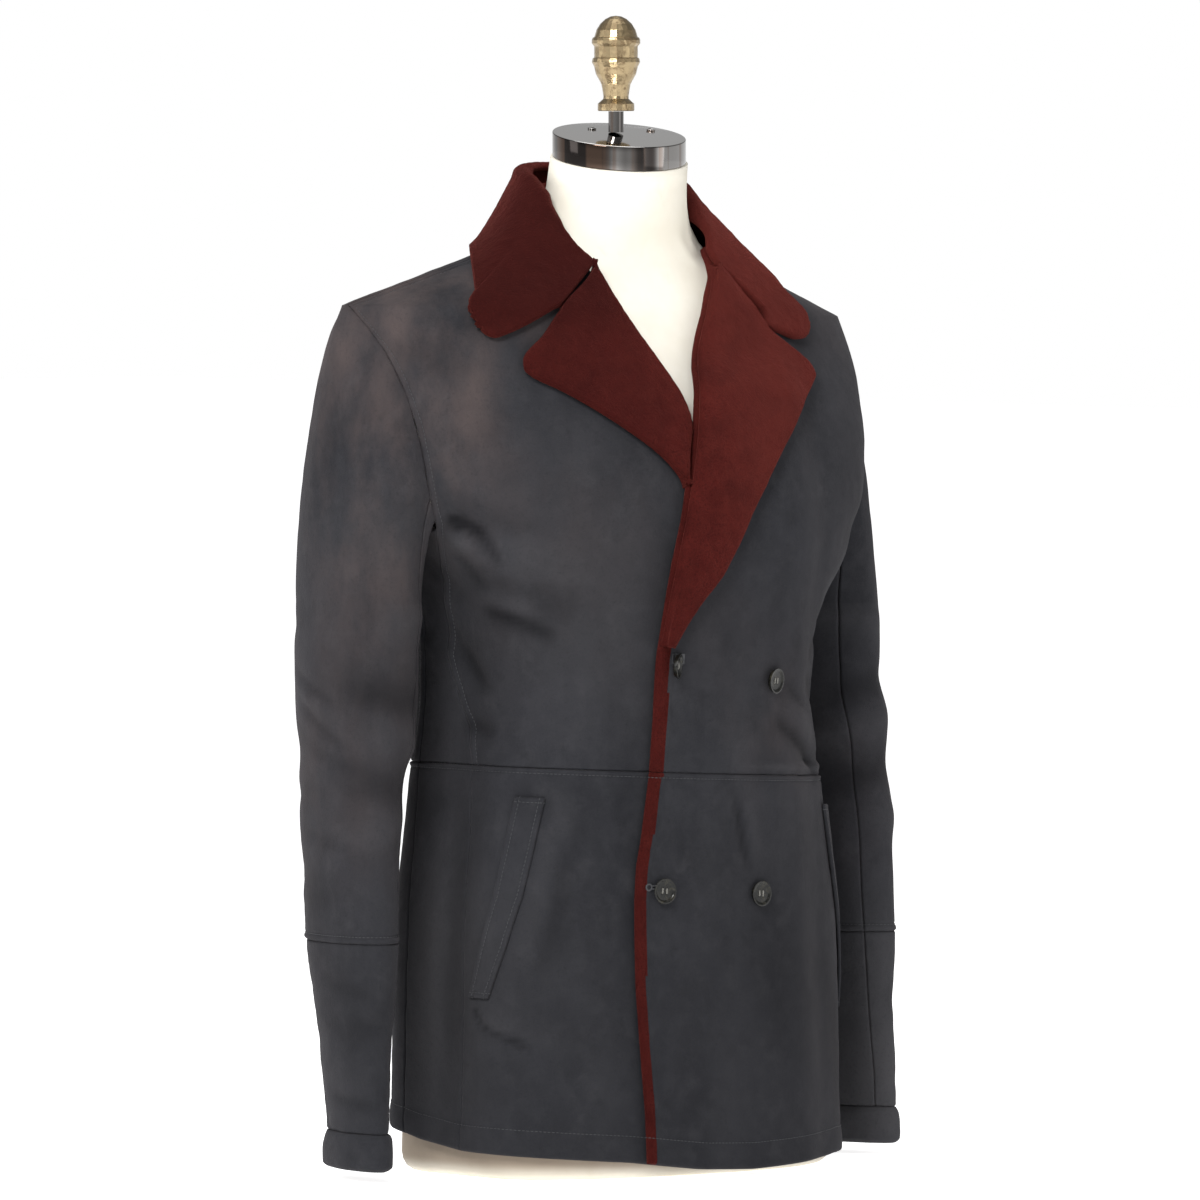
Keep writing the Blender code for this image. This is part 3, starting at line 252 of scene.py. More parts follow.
SLEEVE_FOLDS = (
    (462, 140, 55, -0.10, 14, -3.2),
    (430, 120, 50, 0.12, 15, 2.8),
    (372, 95, 60, -0.16, 15, -3.0),
    (340, 110, 55, -0.20, 14, 2.8),
    (304, 100, 60, -0.14, 15, -2.6),
    (268, 80, 50, 0.10, 14, 2.2),
    (330, -40, 45, 0.25, 16, -2.6),
    (232, -20, 50, -0.14, 15, -1.8),
    (120, 60, 50, 0.10, 13, -1.6),
    (84, 10, 60, -0.08, 12, 1.6),
)
# Finer wrinkles of the sleeve's suede at the elbow and above the cuff.
SLEEVE_CREASES = (
    (456, 24, 42, 0.26, 6.0, -1.5),
    (428, -16, 38, 0.20, 6.5, -1.2),
    (380, 4, 30, -0.44, 5.0, -1.9),
    (371, 8, 30, -0.46, 6.0, 1.4),
    (352, 14, 26, -0.62, 5.0, -1.7),
    (326, 30, 30, -0.34, 5.5, -1.4),
    (300, -20, 34, 0.22, 7.0, -1.3),
    (262, 22, 44, -0.20, 6.5, -1.4),
    (214, -10, 36, 0.16, 7.0, -1.2),
    (150, 36, 40, -0.18, 6.5, -1.3),
    (118, -10, 36, 0.20, 6.5, -1.1),
    (62, 30, 46, -0.10, 5.5, -1.3),
    (360, 190, 40, 0.30, 6.5, -1.6),
    (338, 176, 44, 0.22, 7.0, 1.3),
    (300, 210, 36, -0.26, 6.5, -1.5),
)

# ---------------------------------------------------------------- colours

SLATE = (0.0172, 0.0178, 0.0212)
SLATE_DEEP = (0.0092, 0.0097, 0.0118)
SLATE_WORN = (0.0285, 0.0288, 0.0325)
# Light slate for rubbed nap and grain, and for the painted highlights of the pale mark.
SLATE_RUBBED_AND_HIGHLIGHT = (0.0560, 0.0545, 0.0580)
TAUPE = (0.0640, 0.0485, 0.0460)
BURGUNDY = (0.0540, 0.0070, 0.0056)
BURGUNDY_DEEP = (0.0310, 0.0040, 0.0034)
BURGUNDY_TIP = (0.0850, 0.0140, 0.0105)
BURGUNDY_ROOT = (0.0140, 0.0022, 0.0021)


def smooth_columns(rows):
    """Function of the first column that reads the others without overshoot."""
    data = np.asarray(rows, dtype=float) * MM
    at, values = data[:, 0], data[:, 1:]
    step = np.diff(at)[:, None]
    slope = np.diff(values, axis=0) / step
    tangent = np.zeros_like(values)
    tangent[0], tangent[-1] = slope[0], slope[-1]
    before, after = slope[:-1], slope[1:]
    weight_a = 2 * step[1:] + step[:-1]
    weight_b = step[1:] + 2 * step[:-1]
    same_way = before * after > 0
    safe_before = np.where(same_way, before, 1.0)
    safe_after = np.where(same_way, after, 1.0)
    mean = (weight_a + weight_b) / (weight_a / safe_before + weight_b / safe_after)
    tangent[1:-1] = np.where(same_way, mean, 0.0)

    def read(x):
        x = np.clip(np.asarray(x, dtype=float), at[0], at[-1])
        i = np.clip(np.searchsorted(at, x, side="right") - 1, 0, len(at) - 2)
        h = (at[i + 1] - at[i])[..., None]
        t = ((x - at[i])[..., None]) / h
        return (values[i] * (1 + 2 * t) * (1 - t) ** 2 + tangent[i] * h * t * (1 - t) ** 2
                + values[i + 1] * t * t * (3 - 2 * t) + tangent[i + 1] * h * t * t * (t - 1))
    return read


def line_of(rows):
    """Function of a height in metres that reads (height, value) rows in mm."""
    data = np.asarray(rows, dtype=float) * MM
    return lambda z: np.interp(z, data[:, 0], data[:, 1])


def ramp(x, start, end):
    """0 before start, 1 after end, smooth between; start may exceed end."""
    t = np.clip((np.asarray(x, dtype=float) - start) / (end - start), 0, 1)
    return t * t * (3 - 2 * t)


body_row = smooth_columns(BODY_SECTIONS)
yoke_row = smooth_columns(YOKE_SECTIONS)
sleeve_row = smooth_columns(sorted(SLEEVE_SECTIONS))
left_edge_x = line_of(LEFT_EDGE)
right_edge_x = line_of(RIGHT_EDGE)
side_seam = line_of(SIDE_SEAM)
SEAM_ROWS = np.asarray(sorted(SLEEVE_SEAMS), dtype=float)


def section(z):
    z = np.asarray(z, dtype=float)
    row = np.where((z >= SHOULDER_TIP)[..., None], yoke_row(z), body_row(z))
    return [row[..., i] for i in range(5)]


def bare_point(side, run, z, ridge=SEAM * 0.7):
    """Point of the body's surface without folds; ridge parts front and back."""
    side, run, z = np.broadcast_arrays(np.asarray(side, float), run, z)
    half, front, side_front, side_back, back = section(z)
    on_yoke = np.where(z >= SHOULDER_TIP, ridge, 0.0)
    side_front = side_front - on_yoke
    side_back = side_back + on_yoke
    power = 2 / ROUNDNESS
    turn_front = np.clip(run, 0, 1) * math.pi / 2
    turn_back = np.clip(3 - run, 0, 1) * math.pi / 2
    turn = np.where(run <= 1.5, turn_front, turn_back)
    x = side * half * np.abs(np.sin(turn)) ** power
    y_front = side_front - (side_front - front) * np.abs(np.cos(turn_front)) ** power
    y_back = side_back + (back - side_back) * np.abs(np.cos(turn_back)) ** power
    along = np.clip(run - 1, 0, 1)
    y_side = side_front + (side_back - side_front) * along
    y = np.where(run <= 1, y_front, np.where(run >= 2, y_back, y_side))
    return np.stack([x, y, z], axis=-1)


def fold_depth(side, run, z, folds):
    """Outward move of the folds at a place of the body."""
    point = bare_point(side, run, z)
    bearing = np.arctan2(point[..., 0], -point[..., 1])
    depth = np.zeros(np.shape(bearing))
    for fold in folds:
        row = dict(zip(FOLD_COLUMNS, fold))
        ends = bare_point(row["side"], np.array([row["run_a"], row["run_b"]]),
                          np.array([row["z_a"], row["z_b"]]) * MM)
        end_bearing = np.arctan2(ends[:, 0], -ends[:, 1])
        a = np.array([end_bearing[0] * FOLD_RADIUS, row["z_a"] * MM])
        b = np.array([end_bearing[1] * FOLD_RADIUS, row["z_b"] * MM])
        place = np.stack([bearing * FOLD_RADIUS, np.broadcast_to(z, bearing.shape)], axis=-1)
        length = np.linalg.norm(b - a)
        way = (b - a) / length
        along = (place - a) @ way
        across = (place - a) @ np.array([-way[1], way[0]])
        inside = ramp(along, -0.3 * length, 0.3 * length) * ramp(along, 1.3 * length, 0.7 * length)
        depth += row["depth"] * MM * inside * np.exp(-(across / (row["width"] * MM)) ** 2)
    at_sleeve = ramp(z, 0.470, 0.497) * ramp(run, 0.90, 0.98) * ramp(run, 2.12, 2.02)
    return depth * (1 - at_sleeve)


def surface(side, run, z, out=0.0, ridge=SEAM * 0.7):
    """Point moved out from the body's surface along its normal, and the normal."""
    side, run, z = np.broadcast_arrays(np.asarray(side, float), run, z)
    step_run, step_z = 0.004, 0.0006
    low = np.where(run > 2, np.maximum(run - step_run, 2.0), np.maximum(run - step_run, 0.0))
    low = np.where((run > 1) & (run <= 2), np.maximum(run - step_run, 1.0), low)
    high = np.where(run < 1, np.minimum(run + step_run, 1.0), np.minimum(run + step_run, 3.0))
    high = np.where((run >= 1) & (run < 2), np.minimum(run + step_run, 2.0), high)
    low = np.where((run == 1.0), 1.0 - step_run, low)
    high = np.where((run == 1.0), 1.0, high)
    along = bare_point(side, high, z, ridge) - bare_point(side, low, z, ridge)
    up = bare_point(side, run, z + step_z, ridge) - bare_point(side, run, z - step_z, ridge)
    normal = np.cross(along, up) * side[..., None]
    normal /= np.linalg.norm(normal, axis=-1, keepdims=True)
    move = np.asarray(out) + fold_depth(side, run, z, BODY_FOLDS)
    return bare_point(side, run, z, ridge) + normal * np.asarray(move)[..., None], normal


def run_at_x(x, z):
    """Front run (0 to 1) whose point has this |x|."""
    half = section(z)[0]
    share = np.clip(np.abs(x) / half, 0, 1) ** (ROUNDNESS / 2)
    return np.arcsin(share) * 2 / math.pi


def front_place(x, z, out):
    """Point on the front at (x, z), moved out."""
    point, _ = surface(np.where(np.asarray(x) < 0, -1.0, 1.0), run_at_x(x, z), z, out)
    return point


def overlap_lift(x, z):
    """How far the left front is moved out over the right one."""
    return OVERLAP_LIFT * ramp(x, OVERLAP_NONE_X, OVERLAP_FULL_X) * ramp(
        z, OVERLAP_NONE_Z, OVERLAP_FULL_Z)


def hang(points, share=1.0):
    """Adds the coat's crooked hang: level lines drop to the wearer's left."""
    points = np.array(points)
    slope = SLOPE_AT_FLOOR - SLOPE_LOSS_PER_METRE * points[..., 2]
    points[..., 2] -= slope * share * points[..., 0]
    return points


# ---------------------------------------------------------------- unevenness

def uneven(points, cell, seed):
    """Soft unevenness from -1 to 1 over cells of a size, the same on each run."""
    place = np.asarray(points, dtype=float) / cell + seed * 17.31
    corner = np.floor(place).astype(np.int64)
    part = place - corner
    part = part * part * (3 - 2 * part)
    total = np.zeros(place.shape[:-1])
    for dx in (0, 1):
        for dy in (0, 1):
            for dz in (0, 1):
                x, y, z = corner[..., 0] + dx, corner[..., 1] + dy, corner[..., 2] + dz
                mixed = (x * 73856093) ^ (y * 19349663) ^ (z * 83492791) ^ (seed * 2654435)
                mixed = (mixed ^ (mixed >> 13)) * 1274126177
                value = ((mixed ^ (mixed >> 16)) & 0xFFFF) / 32767.5 - 1
                weight = (np.where(dx, part[..., 0], 1 - part[..., 0])
                          * np.where(dy, part[..., 1], 1 - part[..., 1])
                          * np.where(dz, part[..., 2], 1 - part[..., 2]))
                total += value * weight
    return total


# ---------------------------------------------------------------- shells

def graded(length, band, fine, coarse):
    """Shares from 0 to 1 of a length, close together near both ends."""
    band = min(band, length * 0.3)
    near = np.arange(0, band, fine)
    middle = np.linspace(band, length - band, max(3, round((length - 2 * band) / coarse) + 1))
    return np.concatenate([near, middle, (length - near)[::-1]]) / length


def way_along(points, axis):
    """Distance of each grid point from the first and from the last along an axis."""
    step = np.linalg.norm(np.diff(points, axis=axis), axis=-1)
    zero = np.zeros_like(np.take(step, [0], axis=axis))
    first = np.concatenate([zero, np.cumsum(step, axis=axis)], axis=axis)
    last = np.take(first, [-1], axis=axis) - first
    return first, last


def normals_of(points, outward):
    """Unit normals of a grid, turned the same way as the outward vectors."""
    normal = np.cross(np.gradient(points, axis=1), np.gradient(points, axis=0))
    length = np.linalg.norm(normal, axis=-1, keepdims=True)
    normal = normal / np.where(length > 1e-12, length, 1.0)
    return normal * np.sign(np.sum(normal * outward) + 1e-12)


def rounding(distance, radius):
    """How far a rounded border has dropped at a distance from the edge."""
    inside = np.clip(1 - distance / radius, 0, 1)
    return radius * (1 - np.sqrt(1 - inside ** 2))


SEAM_ROUND = 0.0008
PUCKER_REACH = 0.011


def border_relief(distance, points, kind, stitch, seed):
    """Outward move near one border: a seam or a free edge, with its sewing line."""
    relief = np.zeros(distance.shape)
    if kind == "seam":
        relief -= rounding(distance, SEAM_ROUND)
        ripple = uneven(points, 0.0090, seed) + 0.6 * uneven(points, 0.0048, seed + 1)
        relief += 0.00042 * ripple * np.exp(-distance / PUCKER_REACH)
    if stitch:
        across = (distance - stitch) / 0.0011
        relief -= 0.00062 * np.exp(-across ** 2)
        relief += 0.00085 * np.sin(np.clip(distance / stitch, 0, 1) * math.pi) ** 0.8
    return relief


def shell(name, outer, inner, finishes, fur_faces=None, closed=False):
    """Closed mesh between two point grids; the first finish is outside."""
    rows, columns = outer.shape[:2]
    points = np.concatenate([outer.reshape(-1, 3), inner.reshape(-1, 3)])
    count = rows * columns
    spans = columns if closed else columns - 1
    row_index, column_index = np.meshgrid(np.arange(rows - 1), np.arange(spans), indexing="ij")
    after = (column_index + 1) % columns
    corner = [row_index * columns + column_index, row_index * columns + after,
              (row_index + 1) * columns + after, (row_index + 1) * columns + column_index]
    outside = np.stack(corner, axis=-1).reshape(-1, 4)
    inside = outside[:, ::-1] + count
    quads = [outside, inside]
    kinds = [np.zeros(len(outside), int) if fur_faces is None else fur_faces.reshape(-1),
             np.ones(len(inside), int)]
    strip = np.arange(spans)
    beyond = (strip + 1) % columns
    last = (rows - 1) * columns
    for quad in (np.stack([beyond, strip, strip + count, beyond + count], axis=-1),
                 np.stack([last + strip, last + beyond, last + beyond + count,
                           last + strip + count], axis=-1)):
        quads.append(quad)
        kinds.append(np.zeros(len(quad), int))
    if not closed:
        strip = np.arange(rows - 1) * columns
        end = strip + columns - 1
        for quad, edge in ((np.stack([strip, strip + columns, strip + columns + count,
                                      strip + count], axis=-1), 0),
                           (np.stack([end + columns, end, end + count,
                                      end + columns + count], axis=-1), spans - 1)):
            quads.append(quad)
            kinds.append(np.zeros(len(quad), int) if fur_faces is None else fur_faces[:, edge])
    faces = np.concatenate(quads)
    kinds = np.concatenate(kinds)
    a, b, c, d = (points[faces[:, i]] for i in range(4))
    volume = np.sum(a * np.cross(b, c)) + np.sum(a * np.cross(c, d))
    if volume < 0:
        faces = faces[:, ::-1]
    mesh = bpy.data.meshes.new(name)
    mesh.from_pydata(points.tolist(), [], faces.tolist())
    for finish in finishes:
        mesh.materials.append(finish)
    mesh.polygons.foreach_set("material_index", np.minimum(kinds, len(finishes) - 1))
    mesh.polygons.foreach_set("use_smooth", np.ones(len(faces), bool))
    mesh.update()
    obj = bpy.data.objects.new(name, mesh)
    bpy.context.scene.collection.objects.link(obj)
    return obj


def declare(obj, nodes):
    """Hangs a cloth piece on the root and hides the CAD nodes it stands for."""
    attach(obj, "root")
    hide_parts(*nodes)


# ---------------------------------------------------------------- materials

class Finish:
    """A material being made: adds nodes and links them by name."""

    def __init__(self, name):
        self.material = bpy.data.materials.new(name)
        self.material.use_nodes = True
        self.nodes = self.material.node_tree.nodes
        self.links = self.material.node_tree.links
        self.shader = self.nodes["Principled BSDF"]
        self.place = self.add("ShaderNodeTexCoord").outputs["Object"]

    def add(self, kind, **settings):
        node = self.nodes.new(kind)
        for key, value in settings.items():
            setattr(node, key, value)
        return node

    def join(self, source, target):
        self.links.new(source, target)

    def noise(self, scale, detail=4.0, rough=0.6, twist=0.0, stretch=None):
        """Uneven pattern of a scale per metre; stretch scales the place first."""
        node = self.add("ShaderNodeTexNoise")
        node.inputs["Scale"].default_value = scale
        node.inputs["Detail"].default_value = detail
        node.inputs["Roughness"].default_value = rough
        node.inputs["Distortion"].default_value = twist
        place = self.place
        if stretch is not None:
            mapping = self.add("ShaderNodeMapping")
            mapping.inputs["Scale"].default_value = stretch
            self.join(place, mapping.inputs["Vector"])
            place = mapping.outputs["Vector"]
        self.join(place, node.inputs["Vector"])
        return node.outputs["Fac"]

    def band(self, value, low, high):
        """Turns a value between low and high into 0 to 1."""
        node = self.add("ShaderNodeMapRange", interpolation_type="SMOOTHSTEP")
        node.inputs["From Min"].default_value = low
        node.inputs["From Max"].default_value = high
        self.join(value, node.inputs["Value"])
        return node.outputs["Result"]

    def mix(self, share, first, second):
        """Colour from first to second; each is a colour or a socket."""
        node = self.add("ShaderNodeMix", data_type="RGBA")
        for socket, value in ((node.inputs[0], share), (node.inputs[6], first),
                              (node.inputs[7], second)):
            if isinstance(value, tuple):
                socket.default_value = (*value, 1.0)
            elif isinstance(value, float):
                socket.default_value = value
            else:
                self.join(value, socket)
        return node.outputs[2]

    def maths(self, operation, first, second):
        node = self.add("ShaderNodeMath", operation=operation)
        for socket, value in zip(node.inputs, (first, second)):
            if isinstance(value, (int, float)):
                socket.default_value = value
            else:
                self.join(value, socket)
        return node.outputs[0]

    def across(self, axis):
        """Place along one axis, in metres."""
        node = self.add("ShaderNodeSeparateXYZ")
        self.join(self.place, node.inputs[0])
        return node.outputs[axis]

    def mark(self, name):
        """A value that was painted on the piece's points."""
        node = self.add("ShaderNodeAttribute", attribute_name=name)
        return node.outputs["Fac"]

    def bump(self, height, distance, strength=1.0, under=None):
        node = self.add("ShaderNodeBump")
        node.inputs["Distance"].default_value = distance
        node.inputs["Strength"].default_value = strength
        self.join(height, node.inputs["Height"])
        if under is not None:
            self.join(under, node.inputs["Normal"])
        return node.outputs["Normal"]


def make_suede():
    """Matt slate suede: cloudy nap, brown wear partly as painted highlight, painted highlight and
    shade, fine grain.
    """
    suede = Finish("slate_suede")
    clouds = suede.band(suede.noise(11, 4, 0.55), 0.22, 0.78)
    hanging = suede.band(suede.noise(24, 4, 0.55, 0.0, (1.0, 1.0, 0.35)), 0.30, 0.78)
    base = suede.mix(clouds, SLATE_DEEP, SLATE)
    base = suede.mix(suede.maths("MULTIPLY", hanging, 0.45), base, SLATE_WORN)
    mottle = suede.band(suede.noise(74, 5, 0.62, 0.2), 0.40, 0.72)
    base = suede.mix(suede.maths("MULTIPLY", mottle, 0.34), base, SLATE_WORN)
    deep = suede.band(suede.noise(52, 5, 0.60, 0.2), 0.44, 0.28)
    base = suede.mix(suede.maths("MULTIPLY", deep, 0.40), base, SLATE_DEEP)
    patch = suede.band(suede.noise(15, 5, 0.62, 0.0, (1.0, 1.0, 0.50)), 0.28, 0.74)
    # The worn mark is brown wear, and on the near shoulder and sleeve also a painted highlight.
    worn = suede.maths("MULTIPLY", patch, suede.mark("worn"))
    base = suede.mix(suede.maths("MULTIPLY", worn, 0.90), base, TAUPE)
    rubbed = suede.band(suede.noise(38, 5, 0.65, 0.3), 0.52, 0.80)
    base = suede.mix(suede.maths("MULTIPLY", rubbed, 0.20), base, SLATE_RUBBED_AND_HIGHLIGHT)
    # The pale mark is painted highlight: on the ridges of the creases and at the highlight places.
    pale = suede.maths("MULTIPLY", suede.mark("pale"), 0.70)
    base = suede.mix(pale, base, SLATE_RUBBED_AND_HIGHLIGHT)
    grain = suede.noise(1900, 3, 0.7)
    nap = suede.noise(420, 4, 0.6)
    speck = suede.band(grain, 0.30, 0.78)
    base = suede.mix(suede.maths("MULTIPLY", speck, 0.20), base, SLATE_RUBBED_AND_HIGHLIGHT)
    fleck = suede.band(nap, 0.50, 0.74)
    base = suede.mix(suede.maths("MULTIPLY", fleck, 0.22), base, SLATE_DEEP)
    # The dark mark is painted shade in the creases and at the shade places, and darkens towards the
    # bottom of the front.
    dark = suede.maths("MULTIPLY", suede.mark("dark"), 0.88)
    base = suede.mix(dark, base, (0.0038, 0.0039, 0.0046))
    suede.join(base, suede.shader.inputs["Base Color"])
    suede.shader.inputs["Roughness"].default_value = 0.93
    suede.shader.inputs["Specular IOR Level"].default_value = 0.06
    suede.shader.inputs["Sheen Weight"].default_value = 0.06
    suede.shader.inputs["Sheen Roughness"].default_value = 0.45
    suede.shader.inputs["Sheen Tint"].default_value = (0.66, 0.60, 0.62, 1.0)
    under = suede.bump(nap, 0.0006, 0.55)
    suede.join(suede.bump(grain, 0.00022, 0.6, under), suede.shader.inputs["Normal"])
    return suede.material


def make_fur():
    """Shorn burgundy fur: dense short pile, brushed lighter and darker."""
    fur = Finish("burgundy_fur")
    # The far half (+X), used below for painted light.
    far = fur.band(fur.across("X"), -0.02, 0.05)
    brushed = fur.band(fur.noise(30, 3, 0.5, 0.4), 0.28, 0.74)
    stroked = fur.band(fur.noise(75, 4, 0.6, 0.3), 0.36, 0.70)
    tuft = fur.noise(640, 4, 0.65)
    tip = fur.noise(2400, 3, 0.7)
    base = fur.mix(brushed, BURGUNDY_DEEP, BURGUNDY)
    base = fur.mix(fur.maths("MULTIPLY", stroked, 0.30), base, BURGUNDY_TIP)
    base = fur.mix(fur.maths("MULTIPLY", fur.band(tuft, 0.52, 0.34), 0.60), base, BURGUNDY_ROOT)
    base = fur.mix(fur.maths("MULTIPLY", fur.band(tip, 0.46, 0.72), 0.28), base, BURGUNDY_TIP)
    # Painted light and shade: the far half is lighter, the near half darker, darkest on the near
    # collar above 0.64 m.
    base = fur.mix(fur.maths("MULTIPLY", far, 0.42), base, (0.0720, 0.0135, 0.0105))
    near = fur.band(fur.across("X"), -0.005, -0.075)
    base = fur.mix(fur.maths("MULTIPLY", near, 0.55), base, (0.0240, 0.0034, 0.0029))
    upper = fur.maths("MULTIPLY", near, fur.band(fur.across("Z"), 0.64, 0.68))
    base = fur.mix(fur.maths("MULTIPLY", upper, 0.55), base, (0.0165, 0.0024, 0.0021))
    fur.join(base, fur.shader.inputs["Base Color"])
    fur.shader.inputs["Roughness"].default_value = 0.95
    fur.shader.inputs["Specular IOR Level"].default_value = 0.05
    fur.shader.inputs["Sheen Weight"].default_value = 0.22
    fur.shader.inputs["Sheen Roughness"].default_value = 0.32
    fur.shader.inputs["Sheen Tint"].default_value = (0.62, 0.14, 0.11, 1.0)
    under = fur.bump(tuft, 0.0014, 0.85)
    fur.join(fur.bump(tip, 0.0004, 0.7, under), fur.shader.inputs["Normal"])
    return fur.material


def make_linen():
    """Aged cream cloth drawn tight over the form, with painted shadow of the coat's hem above its
    foot.
    """
    linen = Finish("cream_cloth")
    cloud = linen.band(linen.noise(9, 5, 0.6), 0.30, 0.72)
    stain = linen.band(linen.noise(24, 6, 0.7, 1.0), 0.56, 0.78)
    weave = linen.noise(2600, 2, 0.5)
    base = linen.mix(cloud, (0.640, 0.600, 0.510), (0.720, 0.690, 0.620))
    base = linen.mix(linen.maths("MULTIPLY", stain, 0.25), base, (0.500, 0.430, 0.320))
    # Painted shadow under the coat's hem: brown from 14 mm to 100 mm high, fading out by 300 mm.
    foot = linen.band(linen.across("Z"), -0.001, 0.014)
    foot = linen.maths("MULTIPLY", foot, linen.band(linen.across("Z"), 0.30, 0.10))
    brown = linen.mix(cloud, (0.150, 0.108, 0.074), (0.230, 0.175, 0.125))
    base = linen.mix(linen.maths("MULTIPLY", foot, 0.85), base, brown)
    linen.join(base, linen.shader.inputs["Base Color"])
    linen.shader.inputs["Roughness"].default_value = 0.80
    linen.shader.inputs["Specular IOR Level"].default_value = 0.25
    linen.join(linen.bump(weave, 0.00025, 0.5), linen.shader.inputs["Normal"])
    return linen.material


def make_horn():
    """Dark polished horn with olive clouds."""
    horn = Finish("dark_horn")
    cloud = horn.band(horn.noise(150, 4, 0.6, 1.5), 0.46, 0.72)
    base = horn.mix(cloud, (0.0045, 0.0046, 0.0040), (0.022, 0.020, 0.013))
    horn.join(base, horn.shader.inputs["Base Color"])
    horn.shader.inputs["Roughness"].default_value = 0.27
    horn.shader.inputs["Specular IOR Level"].default_value = 0.24
    horn.join(horn.bump(horn.noise(300, 3, 0.5), 0.0002, 0.25), horn.shader.inputs["Normal"])
    return horn.material


def make_chrome():
    """Polished chrome with painted reflections: upright bands of a dim room and a light top in its
    colour.
    """
    chrome = Finish("chrome")
    # Painted reflection: dark and light upright bands, some brownish.
    painted_reflection_bands = chrome.band(chrome.noise(26, 2, 0.4, 0.0, (1.0, 1.0, 0.02)), 0.40, 0.56)
    thin = chrome.band(chrome.noise(95, 2, 0.5, 0.0, (1.0, 1.0, 0.02)), 0.50, 0.58)
    base = chrome.mix(painted_reflection_bands, (0.022, 0.019, 0.018), (0.24, 0.232, 0.225))
    base = chrome.mix(chrome.maths("MULTIPLY", thin, 0.50), base, (0.11, 0.070, 0.050))
    # Painted reflection: faces turned upward are nearly white.
    facing = chrome.add("ShaderNodeSeparateXYZ")
    chrome.join(chrome.add("ShaderNodeNewGeometry").outputs["Normal"], facing.inputs[0])
    top = chrome.band(facing.outputs["Z"], 0.55, 0.90)
    base = chrome.mix(top, base, (0.97, 0.95, 0.93))
    chrome.join(base, chrome.shader.inputs["Base Color"])
    rough = chrome.add("ShaderNodeMapRange")
    rough.inputs["To Min"].default_value = 0.05
    rough.inputs["To Max"].default_value = 0.13
    chrome.join(chrome.noise(60, 4, 0.6), rough.inputs["Value"])
    chrome.join(rough.outputs["Result"], chrome.shader.inputs["Roughness"])
    chrome.shader.inputs["Metallic"].default_value = 1.0
    return chrome.material


def make_brass():
    """Worn hammered brass, dark in its hollows."""
    brass = Finish("aged_brass")
    dents = brass.noise(95, 2, 0.5)
    spots = brass.band(brass.noise(160, 5, 0.7, 0.8), 0.44, 0.74)
    base = brass.mix(spots, (0.31, 0.238, 0.138), (0.135, 0.090, 0.050))
    brass.join(base, brass.shader.inputs["Base Color"])
    rough = brass.add("ShaderNodeMapRange")
    rough.inputs["To Min"].default_value = 0.30
    rough.inputs["To Max"].default_value = 0.62
    brass.join(spots, rough.inputs["Value"])
    brass.join(rough.outputs["Result"], brass.shader.inputs["Roughness"])
    brass.shader.inputs["Metallic"].default_value = 1.0
    brass.join(brass.bump(dents, 0.0016, 0.5), brass.shader.inputs["Normal"])
    return brass.material


def make_thread(name, deep, light):
    thread = Finish(name)
    tone = thread.band(thread.noise(3000, 2, 0.5), 0.3, 0.7)
    thread.join(thread.mix(tone, deep, light), thread.shader.inputs["Base Color"])
    thread.shader.inputs["Roughness"].default_value = 0.7
    return thread.material


SUEDE = make_suede()
FUR = make_fur()
LINEN = make_linen()
HORN = make_horn()
CHROME = make_chrome()
BRASS = make_brass()
THREAD = make_thread("slate_thread", (0.018, 0.0185, 0.021), (0.036, 0.037, 0.041))
BUTTON_THREAD = make_thread("pale_thread", (0.090, 0.086, 0.076), (0.170, 0.165, 0.150))

# ---------------------------------------------------------------- sewing

STITCH_STEP = 0.0033


def alone(obj):
    """Selects one object and nothing else."""
    bpy.ops.object.select_all(action="DESELECT")
    obj.select_set(True)
    bpy.context.view_layer.objects.active = obj


def line_near(points, distance, reach, axis):
    """Line of points that keeps a distance from one border of a grid."""
    if axis == 0:
        points, distance = np.swapaxes(points, 0, 1), distance.T
    line = []
    for place, way in zip(points, distance):
        order = np.argsort(way)
        line.append([np.interp(reach, way[order], place[order, i]) for i in range(3)])
    return np.array(line)


def sew(name, line):
    """A run of thread stitches along a line: one stitch, arrayed and bent along it."""
    bpy.ops.object.select_all(action="DESELECT")
    bpy.ops.mesh.primitive_uv_sphere_add(segments=6, ring_count=5, radius=0.5,
                                         rotation=(0, math.pi / 2, 0))
    stitch = bpy.context.object
    bpy.ops.object.transform_apply(location=True, rotation=True, scale=True)
    stitch.scale = (0.0026, 0.00062, 0.00062)
    bpy.ops.object.transform_apply(location=False, rotation=False, scale=True)
    stitch.name = name
    path = bpy.data.curves.new(name + "_line", "CURVE")
    path.dimensions = "3D"
    spline = path.splines.new("POLY")
    spline.points.add(len(line) - 1)
    spline.points.foreach_set("co", np.column_stack([line, np.ones(len(line))]).ravel())
    guide = bpy.data.objects.new(name + "_line", path)
    bpy.context.scene.collection.objects.link(guide)
    alone(stitch)
    row = stitch.modifiers.new("row", "ARRAY")
    row.fit_type = "FIT_CURVE"
    row.curve = guide
    row.use_relative_offset = False
    row.use_constant_offset = True
    row.constant_offset_displace = (STITCH_STEP, 0, 0)
    bend = stitch.modifiers.new("bend", "CURVE")
    bend.object = guide
    bpy.ops.object.modifier_apply(modifier="row")
    bpy.ops.object.modifier_apply(modifier="bend")
    bpy.data.objects.remove(guide)
    stitch.data.materials.append(THREAD)
    return stitch


def sew_all(name, lines):
    """Joins the runs of stitches of one piece into one object."""
    runs = [sew("%s_%d" % (name, i), line) for i, line in enumerate(lines)]
    alone(runs[0])
    for other in runs[1:]:
        other.select_set(True)
    if len(runs) > 1:
        bpy.ops.object.join()
    runs[0].name = name
    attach(runs[0], "root")
    return runs[0]
